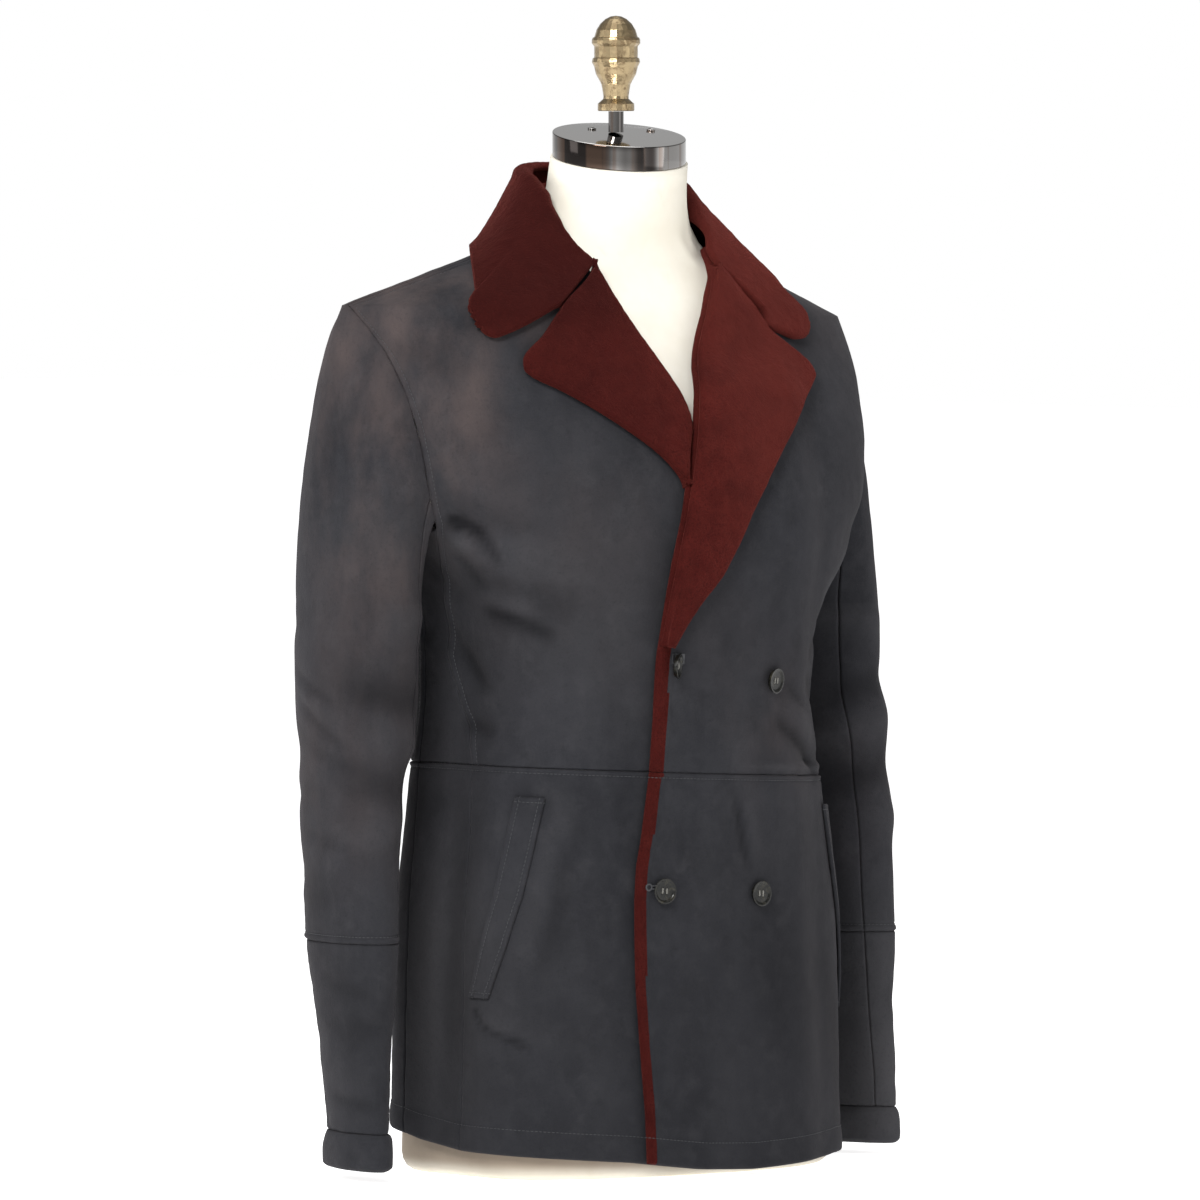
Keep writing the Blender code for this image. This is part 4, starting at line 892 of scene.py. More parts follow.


# ---------------------------------------------------------------- painted marks

# Places of brown wear with painted highlight, of painted highlight and of painted shade: x, y, z
# and reach in mm, amount.
WORN_AND_HIGHLIGHT_PLACES = (
    (-205, 10, 655, 75, 1.0), (-150, -20, 675, 60, 0.7), (-120, -30, 668, 45, 0.5),
    (-255, -10, 560, 75, 1.0), (-262, -25, 480, 60, 0.7), (-255, -20, 395, 55, 0.25),
    (-262, -10, 290, 60, 0.12), (-225, -45, 600, 55, 0.7),
    (150, -20, 672, 50, 0.3), (225, 30, 640, 60, 0.35), (60, -115, 345, 50, 0.30),
    (-40, 95, 690, 80, 0.3), (-245, 60, 300, 90, 0.3), (250, 60, 300, 90, 0.3),
    (-120, -80, 500, 90, 0.25), (0, -95, 410, 60, 0.15),
)
PAINTED_HIGHLIGHT_PLACES = (
    (-130, -22, 668, 26, 0.35), (-250, -45, 510, 40, 0.35), (-258, -40, 395, 26, 0.15),
    (55, -120, 250, 22, 0.15), (-120, -95, 480, 90, 0.22), (-95, -110, 420, 60, 0.18),
    (-172, -20, 180, 60, 0.55), (-172, 0, 90, 60, 0.40), (250, -20, 60, 70, 0.95),
    (245, -20, 160, 50, 0.45),
)
PAINTED_SHADE_PLACES = (
    (-262, -30, 150, 70, 0.22), (-262, -30, 60, 50, 0.22), (-262, -30, 390, 60, 0.16),
    (60, -120, 170, 70, 0.20), (110, -110, 110, 60, 0.14), (0, -120, 420, 90, 0.14),
    (-110, -100, 450, 90, 0.12),
)


def paint(obj, name, values):
    layer = obj.data.attributes.new(name, "FLOAT", "POINT")
    layer.data.foreach_set("value", np.asarray(values, dtype=np.float32))


def paint_marks(obj, creases=None):
    """Paints worn, pale and dark on a suede piece's points, with painted highlight and shade;
    creases are its fold depths.
    """
    count = len(obj.data.vertices)
    flat = np.zeros(count * 3)
    obj.data.vertices.foreach_get("co", flat)
    points = flat.reshape(-1, 3)
    for name, places in (("worn", WORN_AND_HIGHLIGHT_PLACES), ("pale", PAINTED_HIGHLIGHT_PLACES), ("dark", PAINTED_SHADE_PLACES)):
        total = np.zeros(count)
        for x, y, z, reach, amount in places:
            away = np.linalg.norm(points - np.array([x, y, z]) * MM, axis=1) / (reach * MM)
            total += amount * np.exp(-away ** 2)
        if name == "dark":
            # Darker towards the bottom of the front, away from the sleeves.
            low = ramp(points[:, 2], 0.40, 0.06) * ramp(np.abs(points[:, 0]), 0.215, 0.185)
            total += 0.22 * low * ramp(points[:, 1], 0.05, -0.03)
        # Painted shade in the troughs of the folds, painted highlight on their ridges.
        if creases is not None and name != "worn":
            depth = np.concatenate([creases.reshape(-1)] * 2)
            if name == "dark":
                total += 0.90 * np.clip(-depth / 0.0034, 0, 1) ** 0.9
            else:
                total += 0.34 * np.clip(depth / 0.0024, 0, 1)
        paint(obj, name, np.clip(total, 0, 1))


# ---------------------------------------------------------------- the body's panels

FUR_EDGE = ((0, 7.4), (240, 8.0), (330, 10.5), (720, 11.5))  # width of the front's fur strip


def even_runs(start, end, z, shares):
    """Signed runs that share out the way from start to end at each height."""
    fine = np.linspace(0, 1, 161)
    rows = []
    for a, b, level in zip(start, end, z):
        signed = a + (b - a) * fine
        points = bare_point(np.where(signed < 0, -1.0, 1.0), np.abs(signed),
                            np.full(signed.shape, level))
        steps = np.linalg.norm(np.diff(points, axis=0), axis=1)
        way = np.concatenate([[0.0], np.cumsum(steps)])
        rows.append(np.interp(shares * way[-1], way, signed))
    return np.array(rows)


def upper_rows(low, high):
    """Row heights of an upper panel, closer at the waist and on the shoulders."""
    near_waist = low + np.arange(0, 0.013, 0.0011)
    body = np.arange(low + 0.0165, 0.664, 0.0038)
    shoulders = np.arange(0.664, NECK_SEAM, 0.0013)
    rows = np.concatenate([near_waist, body, shoulders, [NECK_SEAM]])
    rows = rows[rows < high - 0.0005]
    if high < 0.6:
        near = high - np.arange(0, 0.010, 0.0012)
        rows = np.concatenate([rows[rows < near[-1] - 0.001], near[::-1]])
        return rows
    return np.concatenate([rows, [high]])


def body_points(sides, runs, z, lift):
    """Outer points with all folds, hung, and their outward directions."""
    out = lift(sides, runs, z) if lift is not None else 0.0
    outer, normal = surface(sides, runs, z, out + fold_depth(sides, runs, z, BODY_CREASES))
    return hang(outer), normal


def left_lift(sides, runs, z):
    return overlap_lift(bare_point(sides, runs, z)[..., 0], z)


def relief_of(points, borders, seed):
    """Sum of the relief near the four borders (first/last column, first/last row)."""
    first_column, last_column = way_along(points, 1)
    first_row, last_row = way_along(points, 0)
    total = 0.00030 * uneven(points, 0.021, seed + 7) + 0.00018 * uneven(points, 0.0085, seed + 9)
    for distance, (kind, stitch) in zip((first_column, last_column, first_row, last_row), borders):
        total += border_relief(distance, points, kind, stitch, seed)
    return total, (first_column, last_column, first_row, last_row)


def edge_rolls(ways, borders, wall):
    """Half-round thickness profile at free edges: inward move of both faces."""
    total = 0.0
    for distance, (kind, _) in zip(ways, borders):
        if kind == "edge":
            total = total + rounding(distance, wall * 0.46)
    return np.minimum(total, wall * 0.46)


def body_panel(name, node, sides, runs, z, lift, borders, seed, fur_edge=False,
               wall=WALL):
    outer, outward = body_points(sides, runs, z, lift)
    normal = normals_of(outer, outward)
    relief, ways = relief_of(outer, borders, seed)
    roll = edge_rolls(ways, borders, wall)
    fur_faces = None
    if fur_edge:
        strip = ways[0]
        width = line_of(FUR_EDGE)(z)
        bulge = 0.0012 * np.exp(-((strip - width * 0.5) / (width * 0.45)) ** 2)
        pile = 0.00045 * uneven(outer, 0.0021, seed + 3) + 0.00035 * uneven(outer, 0.0042, seed + 5)
        in_fur = strip < width
        lip = 0.0010 * np.exp(-((strip - width - 0.0018) / 0.0015) ** 2)
        relief = relief + np.where(in_fur, bulge + pile - 0.0006, lip)
        fur_faces = (0.5 * (strip[:-1, :-1] + strip[:-1, 1:]) < width[:-1, :-1]).astype(int)
    inner = outer - normal * (wall - roll)[..., None]
    outer = outer + normal * (relief - roll)[..., None]
    obj = shell(name, outer, inner, (SUEDE, FUR), fur_faces)
    # Fold depths for the painted shade and highlight of the creases.
    creases = fold_depth(sides, runs, z, BODY_CREASES)
    paint_marks(obj, creases + 0.35 * fold_depth(sides, runs, z, BODY_FOLDS))
    lines = [line_near(outer + normal * 0.0001, way, stitch, 1 if i < 2 else 0)
             for i, (way, (_, stitch)) in enumerate(zip(ways, borders)) if stitch]
    sewing = [sew_all(node + "_stitches", lines)] if lines else []
    declare(obj, [node])
    return obj


def front_runs(side, z, edge_x, shares):
    x_edge = edge_x(z)
    start = np.where(np.sign(x_edge) == side, 1, -1) * run_at_x(x_edge, z)
    signed = even_runs(start, 1 + np.maximum(side_seam(z), 0.002), z, shares)
    sides = np.where(signed < 0, -side, side).astype(float)
    return np.abs(signed), sides


def hem_heights(sides, runs, share):
    hem = np.interp(sides * runs, [row[0] for row in HEM], [row[1] for row in HEM]) * MM
    waist = WAIST_SEAM - SEAM / 2
    return waist - (waist - hem) * share[:, None]


def make_fronts():
    shares = graded(0.235, 0.014, 0.0011, 0.0042)
    upper = upper_rows(WAIST_SEAM + SEAM / 2, NECK_SEAM)
    down = graded(0.300, 0.014, 0.0011, 0.0042)
    for side, word, edge, lift in ((RIGHT, "right", right_edge_x, None),
                                   (LEFT, "left", left_edge_x, left_lift)):
        open_edge = side == LEFT
        first = ("edge", 0.0 if open_edge else 0.008)
        runs, sides = front_runs(side, upper, edge, shares)
        z = np.broadcast_to(upper[:, None], runs.shape)
        node = "front_upper_" + word
        body_panel(node + "_suede", node, sides, runs, z, lift,
                   (first, ("seam", 0.0075), ("seam", 0.0), ("seam", 0.0)),
                   11 + side, fur_edge=open_edge)
        flat = WAIST_SEAM - (WAIST_SEAM - 0.010) * down
        runs, sides = front_runs(side, flat, edge, shares)
        z = hem_heights(sides, runs, down)
        node = "front_lower_" + word
        body_panel(node + "_suede", node, sides, runs, z, lift,
                   (first, ("seam", 0.0), ("seam", 0.0040), ("edge", 0.0205)),
                   21 + side, fur_edge=open_edge)


def make_sides():
    upper = upper_rows(WAIST_SEAM + SEAM / 2, UNDERARM - SEAM)
    down = graded(0.300, 0.014, 0.0011, 0.0042)
    for side, word in ((RIGHT, "right"), (LEFT, "left")):
        for level in ("upper", "lower"):
            rows = upper if level == "upper" else WAIST_SEAM - (WAIST_SEAM - 0.010) * down
            _, _, front, back, _ = section(rows)
            gap = SEAM * 1.2 / (back - front)
            start = side_seam(rows) + gap
            shares = graded(0.062, 0.008, 0.0011, 0.0040)
            runs = 1 + start[:, None] + (1 - gap - start)[:, None] * shares[None, :]
            sides = np.full(runs.shape, float(side))
            z = np.broadcast_to(rows[:, None], runs.shape)
            borders = (("seam", 0.0), ("seam", 0.0), ("seam", 0.0), ("seam", 0.0))
            if level == "lower":
                z = hem_heights(sides, runs, down)
                borders = (("seam", 0.0), ("seam", 0.0), ("seam", 0.0040), ("edge", 0.0205))
            node = "side_%s_%s" % (level, word)
            body_panel(node + "_suede", node, sides, runs, z, None, borders, 31 + side)


def make_back():
    shares = graded(0.46, 0.014, 0.0011, 0.0044)
    for level in ("upper", "lower"):
        if level == "upper":
            rows = upper_rows(WAIST_SEAM + SEAM / 2, NECK_SEAM)
        else:
            down = graded(0.300, 0.014, 0.0011, 0.0044)
            rows = WAIST_SEAM - (WAIST_SEAM - 0.010) * down
        runs = 3 - np.abs(2 * shares[None, :] - 1) * np.ones((len(rows), 1))
        sides = np.broadcast_to(np.where(shares < 0.5, -1.0, 1.0)[None, :], runs.shape)
        z = np.broadcast_to(rows[:, None], runs.shape)
        borders = (("seam", 0.0075), ("seam", 0.0075), ("seam", 0.0), ("seam", 0.0))
        if level == "lower":
            z = hem_heights(sides, runs, down)
            borders = (("seam", 0.0), ("seam", 0.0), ("seam", 0.0040), ("edge", 0.0205))
        node = "back_" + level
        body_panel(node + "_suede", node, sides, runs, z, None, borders, 41)


# ---------------------------------------------------------------- lapels and collar

def outline_at(outline, z):
    """x of a lapel's outer edge at a height."""
    return smooth_columns(outline)(z)[..., 0]


def fur_relief(points, seed):
    """Short pile: fine unevenness of the fur's tips."""
    return (0.00022 * uneven(points, 0.0034, seed) + 0.00022 * uneven(points, 0.0062, seed + 1)
            + 0.00045 * uneven(points, 0.0190, seed + 2))


def make_lapels():
    """Lapels folded out on the fronts; their gorge is seamed to the collar."""
    for side, word, outline, edge, limit in (
            (LEFT, "left", LEFT_LAPEL_OUTLINE, left_edge_x, None),
            (RIGHT, "right", RIGHT_LAPEL, right_edge_x, left_edge_x)):
        low, high = outline[0][0] * MM, outline[-1][0] * MM
        z = np.concatenate([np.arange(low, high - 0.0005, 0.00125), [high]])
        inner_x = edge(z)
        if limit is not None:
            inner_x = np.minimum(inner_x, limit(z) - 1.2 * MM)
        inner_x = np.convolve(np.pad(inner_x, 14, mode="edge"), np.full(29, 1 / 29), "valid")
        inner_x[-1] = outline[-1][1] * MM
        outer_x = outline_at(outline, z)
        share = graded(0.110, 0.010, 0.0009, 0.0014)[None, :]
        x = inner_x[:, None] + (outer_x - inner_x)[:, None] * share
        z_grid = np.broadcast_to(z[:, None], x.shape)
        lift = overlap_lift(x, z_grid) if side == LEFT else 0.0
        beyond_roll = ramp(share, 0, 0.12)
        belly = LAPEL_ROLL[side] + (LAPEL_REST + LAPEL_BELLY * np.sin(np.pi * share)) * beyond_roll
        low_face = hang(front_place(x, z_grid, lift + belly))
        high_face = hang(front_place(x, z_grid, lift + belly + LAPEL_WALL))
        normal = normals_of(high_face, high_face - low_face)
        ways = (*way_along(high_face, 1), *way_along(high_face, 0))
        half = LAPEL_WALL * 0.49
        gorge = NOTCH_HEIGHT[side]
        at_seam = ramp(z_grid, gorge - 0.003, gorge + 0.003)
        outer_radius = half * (1 - at_seam) + 0.0009 * at_seam
        roll = (rounding(ways[0], half) + rounding(ways[1], outer_radius)
                + rounding(ways[2], half * 0.5))
        roll = np.minimum(roll, half)
        relief = fur_relief(high_face, 51 + side) * ramp(roll, half, half * 0.5)
        outer = high_face + normal * (relief - roll)[..., None]
        inner = low_face + normal * roll[..., None]
        node = "lapel_" + word
        obj = shell(node + "_fur", outer, inner, (FUR, FUR))
        declare(obj, [node])


def collar_table(stations):
    """Station values at fractional station numbers, without corners."""
    data = np.asarray(COLLAR_STATIONS, dtype=float)
    rows = np.column_stack([np.arange(len(data)), data]) / MM
    values = smooth_columns(rows)(np.asarray(stations, dtype=float))
    return {name: values[..., i] for i, name in enumerate(COLLAR_COLUMNS)}


def collar_lift(row, side):
    lean = COLLAR_LEAN * ramp(row["neck_run"], 0.26, 0.33) * ramp(row["neck_run"], 0.95, 0.6)
    across = row["lift_out"] * side + lean
    return np.stack([across, row["lift_back"], row["lift_up"]], axis=-1) * MM


def quarter_run(value):
    return np.where(value > 1, value + 1, value)


def ease(points, rounds):
    """Evens out the inner points of a grid and leaves its borders."""
    points = np.array(points)
    for _ in range(rounds):
        points[1:-1, 1:-1] = (points[1:-1, 1:-1] * 0.4 + 0.15 * (
            points[:-2, 1:-1] + points[2:, 1:-1] + points[1:-1, :-2] + points[1:-1, 2:]))
    return points


def collar_edge(outline, side, numbers):
    """Runs and heights of the collar's edge, and a smooth line through its places."""
    data = np.asarray(outline, dtype=float)
    run = np.interp(numbers, data[:, 0], data[:, 1])
    z = np.interp(numbers, data[:, 0], data[:, 2]) * MM
    place, _ = surface(np.full(len(data), float(side)), quarter_run(data[:, 1]),
                       data[:, 2] * MM, COLLAR_REST + COLLAR_WALL / 2)
    line = smooth_columns(np.column_stack([data[:, 0], place]) / MM)
    return run, z, line(numbers)


def make_collar():
    """The collar's fall, rolled over at the fold and down inside towards the neck."""
    last = len(COLLAR_STATIONS) - 1.0
    half_count = 210
    numbers = np.linspace(0, last, half_count)
    sides = np.array([-1.0] * half_count + [1.0] * (half_count - 1))
    near = collar_edge(RIGHT_COLLAR_OUTLINE, RIGHT, numbers)
    far = collar_edge(LEFT_COLLAR_OUTLINE, LEFT, numbers)
    edge_run, edge_z, edge_place = (np.concatenate([a, b[::-1][1:]]) for a, b in zip(near, far))
    row = collar_table(np.concatenate([numbers, numbers[::-1][1:]]))
    share = graded(0.075, 0.010, 0.0010, 0.0014)[:, None]
    side_grid = np.broadcast_to(sides[None, :], (len(share), len(sides)))
    run = row["neck_run"] + (edge_run - row["neck_run"]) * share
    z = row["neck_z"] * MM + (edge_z - row["neck_z"] * MM) * share
    fall = FRONT_FALL + (BACK_FALL - FRONT_FALL) * ramp(row["neck_run"], 0.6, 1.1)[None, :]
    lift = collar_lift(row, sides)[None, :, :] * ((1 - share) ** fall)[:, :, None]
    middle, normal = surface(side_grid, quarter_run(run), z, COLLAR_REST + COLLAR_WALL / 2)
    middle = middle + lift
    middle += (edge_place - middle[-1]) * ramp(share, 0.2, 1.0)[:, :, None]
    middle = ease(middle, 40)
    for end, beside in ((0, 1), (-1, -2)):
        way = middle[:, end] - middle[:, beside]
        way /= np.linalg.norm(way, axis=-1, keepdims=True)
        middle[:, end] += way * 0.0014
    facing = normals_of(middle, normal)
    down = middle[2] - middle[0]
    down -= facing[0] * np.sum(down * facing[0], axis=-1, keepdims=True)
    down /= np.linalg.norm(down, axis=-1, keepdims=True)
    standing = ramp(row["lift_up"], 8, 26)
    radius = (0.0030 + 0.0018 * standing)[:, None]
    reach = np.radians(72 + 88 * standing)
    curl, curl_facing = [], []
    for part in np.linspace(1, 0, 15)[:-1]:
        turn = (reach * part)[:, None]
        way = np.cos(turn) * facing[0] - np.sin(turn) * down
        curl.append(middle[0] - facing[0] * radius + way * radius)
        curl_facing.append(way)
    middle = np.concatenate([np.array(curl), middle])
    facing = np.concatenate([np.array(curl_facing), facing])
    half = COLLAR_WALL / 2
    deep = np.full(middle.shape[:2], half)
    deep[:14] = np.minimum(half, radius[:, 0] * 0.75)
    deep[14:22] = deep[13] + (half - deep[13]) * np.linspace(0.1, 1, 8)[:, None]
    ways = (*way_along(middle, 1), *way_along(middle, 0))
    roll = (rounding(ways[0], 0.0009) + rounding(ways[1], 0.0009)
            + rounding(ways[2], half * 0.9) + rounding(ways[3], half * 0.98))
    roll = np.minimum(roll, half * 0.98)
    relief = fur_relief(middle, 61) * ramp(roll, half, half * 0.5)
    outer = hang(middle + facing * (half - roll + relief)[..., None])
    inner = hang(middle - facing * np.minimum(deep, half - roll)[..., None])
    obj = shell("collar_fur", outer, inner, (FUR, FUR))
    declare(obj, ["collar"])


def make_stand():
    count = 90
    half_way = np.linspace(STAND_FIRST_STATION, len(COLLAR_STATIONS) - 1, count)
    numbers = np.concatenate([half_way, half_way[:-1][::-1]])
    sides = np.array([-1.0] * count + [1.0] * (count - 1))
    row = collar_table(numbers)
    seam_point = bare_point(sides, quarter_run(row["neck_run"]), row["neck_z"] * MM)
    fold_point = seam_point + collar_lift(row, sides)
    away = fold_point[:, :2] - np.array([0.0, 0.008])
    away = away / np.linalg.norm(away, axis=-1, keepdims=True)
    away = np.concatenate([away, np.zeros((len(away), 1))], axis=1)
    inside, _ = surface(sides, quarter_run(row["neck_run"]), row["neck_z"] * MM, -WALL)
    foot = inside - away * (STAND_WALL / 2 + SEAM)
    foot[:, 2] = inside[:, 2] + STAND_LIFT
    top = fold_point - away * (COLLAR_WALL / 2 + STAND_WALL / 2 + 4 * SEAM)
    top[:, 2] -= 0.0060
    share = np.linspace(0, 1, 26)[:, None, None]
    middle = foot[None] * (1 - share) + top[None] * share
    ways = way_along(middle, 0)
    roll = np.minimum(rounding(ways[1], STAND_WALL * 0.48), STAND_WALL * 0.48)
    relief = fur_relief(middle, 67) * 0.8
    half = STAND_WALL / 2
    outer = hang(middle + away[None] * (half - roll)[..., None])
    inner = hang(middle - away[None] * (half - roll + relief)[..., None])
    obj = shell("collar_stand_fur", outer, inner, (FUR, FUR))
    declare(obj, ["collar_stand"])


def make_welts():
    data = np.asarray(WELT_ROWS, dtype=float)
    down = graded(0.160, 0.006, 0.0008, 0.0022)
    z = (data[0, 0] + (data[-1, 0] - data[0, 0]) * down) * MM
    front = np.interp(z / MM, data[:, 0], data[:, 1])
    back = np.interp(z / MM, data[:, 0], data[:, 2])
    shares = graded(0.028, 0.006, 0.0008, 0.0020)
    runs = front[:, None] + (back - front)[:, None] * shares[None, :]
    z_grid = np.broadcast_to(z[:, None], runs.shape)
    for side, word in ((RIGHT, "right"), (LEFT, "left")):
        sides = np.full(runs.shape, float(side))
        under = 3 * SEAM + WELT_WALL
        outer, outward = surface(sides, runs, z_grid, under
                                 + fold_depth(sides, runs, z_grid, BODY_CREASES))
        outer = hang(outer)
        normal = normals_of(outer, outward)
        ways = (*way_along(outer, 1), *way_along(outer, 0))
        roll = np.minimum(sum(rounding(w, 0.0011) for w in ways), 0.0011)
        stitch = sum(0.0004 * np.exp(-((w - 0.0042) / 0.0008) ** 2) for w in ways)
        ripple = 0.00022 * uneven(outer, 0.009, 71 + side)
        inner = outer - normal * WELT_WALL
        outer = outer + normal * (ripple - roll - stitch)[..., None]
        obj = shell("pocket_welt_%s_suede" % word, outer, inner, (SUEDE, SUEDE))
        paint_marks(obj)
        lines = [line_near(outer + normal * 0.0001, way, 0.0042, 1 if i < 2 else 0)
                 for i, way in enumerate(ways)]
        sewing = sew_all("pocket_welt_%s_stitches" % word, lines)
        declare(obj, ["pocket_welt_" + word])


# ---------------------------------------------------------------- sleeves

def armhole_loop(angle, grow):
    data = np.asarray(ARMHOLE_LOOP, dtype=float)
    y = np.interp(angle % 360, data[:, 0], data[:, 1])
    z = np.interp(angle % 360, data[:, 0], data[:, 2])
    away = np.stack([y, z], axis=-1) - np.array(ARMHOLE_CENTRE)
    away /= np.linalg.norm(away, axis=-1, keepdims=True)
    y = y * MM + away[..., 0] * grow
    z = z * MM + away[..., 1] * grow
    x = body_row(np.minimum(z, SHOULDER_TIP))[..., 0] + 2.5 * SEAM
    return np.stack([x, y, z], axis=-1)


def sleeve_fold(angle, z):
    depth = np.zeros(np.broadcast(angle, z).shape)
    for level, middle, half_length, slope, width, deep in SLEEVE_FOLDS + SLEEVE_CREASES:
        turn = (angle - middle + 180) % 360 - 180
        inside = ramp(np.abs(turn), half_length * 1.25, half_length * 0.45)
        across = z - (level + slope * turn) * MM
        depth = depth + deep * MM * inside * np.exp(-(across / (width * MM)) ** 2)
    return depth


def sleeve_ring(angle, z, shrink):
    row = sleeve_row(z)
    centre_x, centre_y, deep, thin = (row[..., i] for i in range(4))
    turn = np.radians(angle)
    grow = sleeve_fold(angle, z) - shrink
    forward = np.sin(turn) * (deep + grow)
    outward = np.cos(turn) * (thin + grow)
    x = centre_x + outward * math.cos(SLEEVE_TURN) + forward * math.sin(SLEEVE_TURN)
    y = centre_y + outward * math.sin(SLEEVE_TURN) - forward * math.cos(SLEEVE_TURN)
    return np.stack(np.broadcast_arrays(x, y, z), axis=-1)


def sleeve_head(angle, share, grow, shrink):
    start = armhole_loop(angle, grow)
    level = np.full(np.shape(angle), SLEEVE_TOP)
    end = sleeve_ring(angle, level, shrink)
    below = sleeve_ring(angle, level - 0.01, shrink)
    reach = np.linalg.norm(end - start, axis=-1)[..., None]
    down = (end - below) * -1
    down = down / np.linalg.norm(down, axis=-1, keepdims=True)
    low_side = (1 - np.cos(np.radians(angle)))[..., None] / 2
    away = np.concatenate([np.ones_like(low_side), np.zeros_like(low_side),
                           -0.32 + 0.10 * low_side], axis=-1)
    away = away / np.linalg.norm(away, axis=-1, keepdims=True)
    pull, settle = reach * 0.21, reach * 1.05
    t = np.asarray(share)
    return (start * (1 + 2 * t) * (1 - t) ** 2 + away * pull * t * (1 - t) ** 2
            + end * t * t * (3 - 2 * t) + down * settle * t * t * (t - 1))


def seam_angle(which, extra):
    return lambda level: np.interp(level, SEAM_ROWS[:, 0], SEAM_ROWS[:, which]) + extra


def place_sleeve(points, side):
    points = np.array(points)
    points[..., 0] *= side
    share = ramp(points[..., 2], 0.38, 0.50)[..., None]
    return points + (hang(points) - points) * share


def sleeve_grid(start, end, shares, levels, with_head, grow, shrink, depths=False):
    """Points of a sleeve piece from the armhole down, or the fold depths there."""
    rows = []
    if with_head:
        for share in np.concatenate([np.arange(0, 0.05, 0.0045), np.arange(0.05, 0.999, 0.0165)]):
            level = 667.0 + (SLEEVE_TOP / MM - 667.0) * share
            angle = start(level) + (end(level) - start(level)) * shares
            rows.append(np.zeros(angle.shape) if depths
                        else sleeve_head(angle, share, grow, shrink))
    for z in levels[::-1]:
        angle = start(z / MM) + (end(z / MM) - start(z / MM)) * shares
        rows.append(0.6 * sleeve_fold(angle, z) if depths
                    else sleeve_ring(angle, np.full(len(shares), z), shrink))
    return np.array(rows)


def make_sleeves():
    gap = 0.45
    shares = graded(0.175, 0.010, 0.0012, 0.0042)
    pieces = (("top", seam_angle(2, gap), seam_angle(1, -gap)),
              ("under", seam_angle(1, gap), seam_angle(2, 360 - gap)))
    for side, word in ((RIGHT, "right"), (LEFT, "left")):
        middle = FOREARM_SEAM[side]
        for piece, start, end in pieces:
            for part, low_z, top, head in (("sleeve", middle + SEAM / 2, SLEEVE_TOP, True),
                                           ("forearm", CUFF_TOP + SEAM, middle - SEAM / 2, False)):
                near_low = low_z + np.arange(0, 0.012, 0.0012)
                body = np.arange(low_z + 0.015, top - 0.001, 0.0038)
                levels = np.concatenate([near_low, body, [top]])
                if not head:
                    near_top = top - np.arange(0, 0.011, 0.0012)[::-1]
                    levels = np.concatenate([near_low, body[body < near_top[0] - 0.002], near_top])
                outer = place_sleeve(sleeve_grid(start, end, shares, levels, head,
                                                 ARMHOLE_LAP, 0.0), side)
                inner = place_sleeve(sleeve_grid(start, end, shares, levels, head,
                                                 -ARMHOLE_LAP, SLEEVE_WALL), side)
                normal = normals_of(outer, outer - inner)
                if part == "sleeve":
                    borders = (("seam", 0.0), ("seam", 0.0), ("seam", 0.0), ("seam", 0.0055))
                else:
                    borders = (("seam", 0.0), ("seam", 0.0), ("seam", 0.0), ("seam", 0.0))
                relief, ways = relief_of(outer, borders, 81 + side)
                outer = outer + normal * relief[..., None]
                node = "%s_%s_%s" % (part, piece, word)
                obj = shell(node + "_suede", outer, inner, (SUEDE, FUR))
                # Fold depths for the sleeve's painted shade and highlight.
                creases = sleeve_grid(start, end, shares, levels, head, 0.0, 0.0, True)
                paint_marks(obj, creases)
                sewing = []
                if part == "sleeve":
                    line = line_near(outer + normal * 0.0001, ways[3], 0.0055, 0)
                    sewing = [sew_all(node + "_stitches", [line])]
                declare(obj, [node])
        make_cuff(side, word)


def make_cuff(side, word):
    """Turned-up band of the cuff: a soft roll with its sewing line at the top."""
    angle = np.arange(150) * 2.4
    table = smooth_columns(sorted(CUFF_ROWS))
    rounds = np.concatenate([CUFF_TOP - np.arange(0, 0.006, 0.0006),
                             np.arange(CUFF_TOP - 0.0066, CUFF_BOTTOM + 0.006, -0.0016),
                             CUFF_BOTTOM + np.arange(0, 0.0056, 0.0005)[::-1]])
    outer, inner = [], []
    for z in rounds:
        growth = float(table(z)[..., 0])
        level = np.full(angle.shape, z)
        drop = float(rounding(np.array(z - CUFF_BOTTOM), 0.0045))
        rise = float(rounding(np.array(CUFF_TOP - z), 0.0016))
        outer.append(sleeve_ring(angle, level, -growth + drop + rise))
        inner.append(sleeve_ring(angle, level, SLEEVE_WALL - drop * 0.55))
    outer = place_sleeve(np.array(outer), side)
    inner = place_sleeve(np.array(inner), side)
    normal = normals_of(outer, outer - inner)
    relief = 0.0006 * uneven(outer, 0.017, 91 + side) + 0.0003 * uneven(outer, 0.007, 92 + side)
    ends = np.minimum(*way_along(outer, 0))
    outer = outer + normal * (relief * ramp(ends, 0, 0.003))[..., None]
    obj = shell("cuff_%s_suede" % word, outer, inner, (SUEDE, FUR), closed=True)
    paint_marks(obj)
    declare(obj, ["cuff_" + word])


# ---------------------------------------------------------------- buttons and form

# Buttons: height and x of the seat, how far each is tipped about its upright, degrees.
BUTTONS = {
    "button_upper_edge": (396, -45, 50),
    "button_upper_outer": (386, 53, 9),
    "button_lower_edge": (220, -51, 0),
    "button_lower_outer": (220, 41.5, 0),
}
BUTTON_RADIUS = 0.0102
BUTTON_HEIGHT = 0.0038


def choose_faces(obj, choose):
    """Selects the faces, by middle and normal, and no other part of the mesh."""
    bpy.ops.object.mode_set(mode="EDIT")
    bpy.ops.mesh.select_mode(type="FACE")
    bpy.ops.mesh.select_all(action="DESELECT")
    bpy.ops.object.mode_set(mode="OBJECT")
    for polygon in obj.data.polygons:
        polygon.select = bool(choose(polygon.center, polygon.normal))
    bpy.ops.object.mode_set(mode="EDIT")


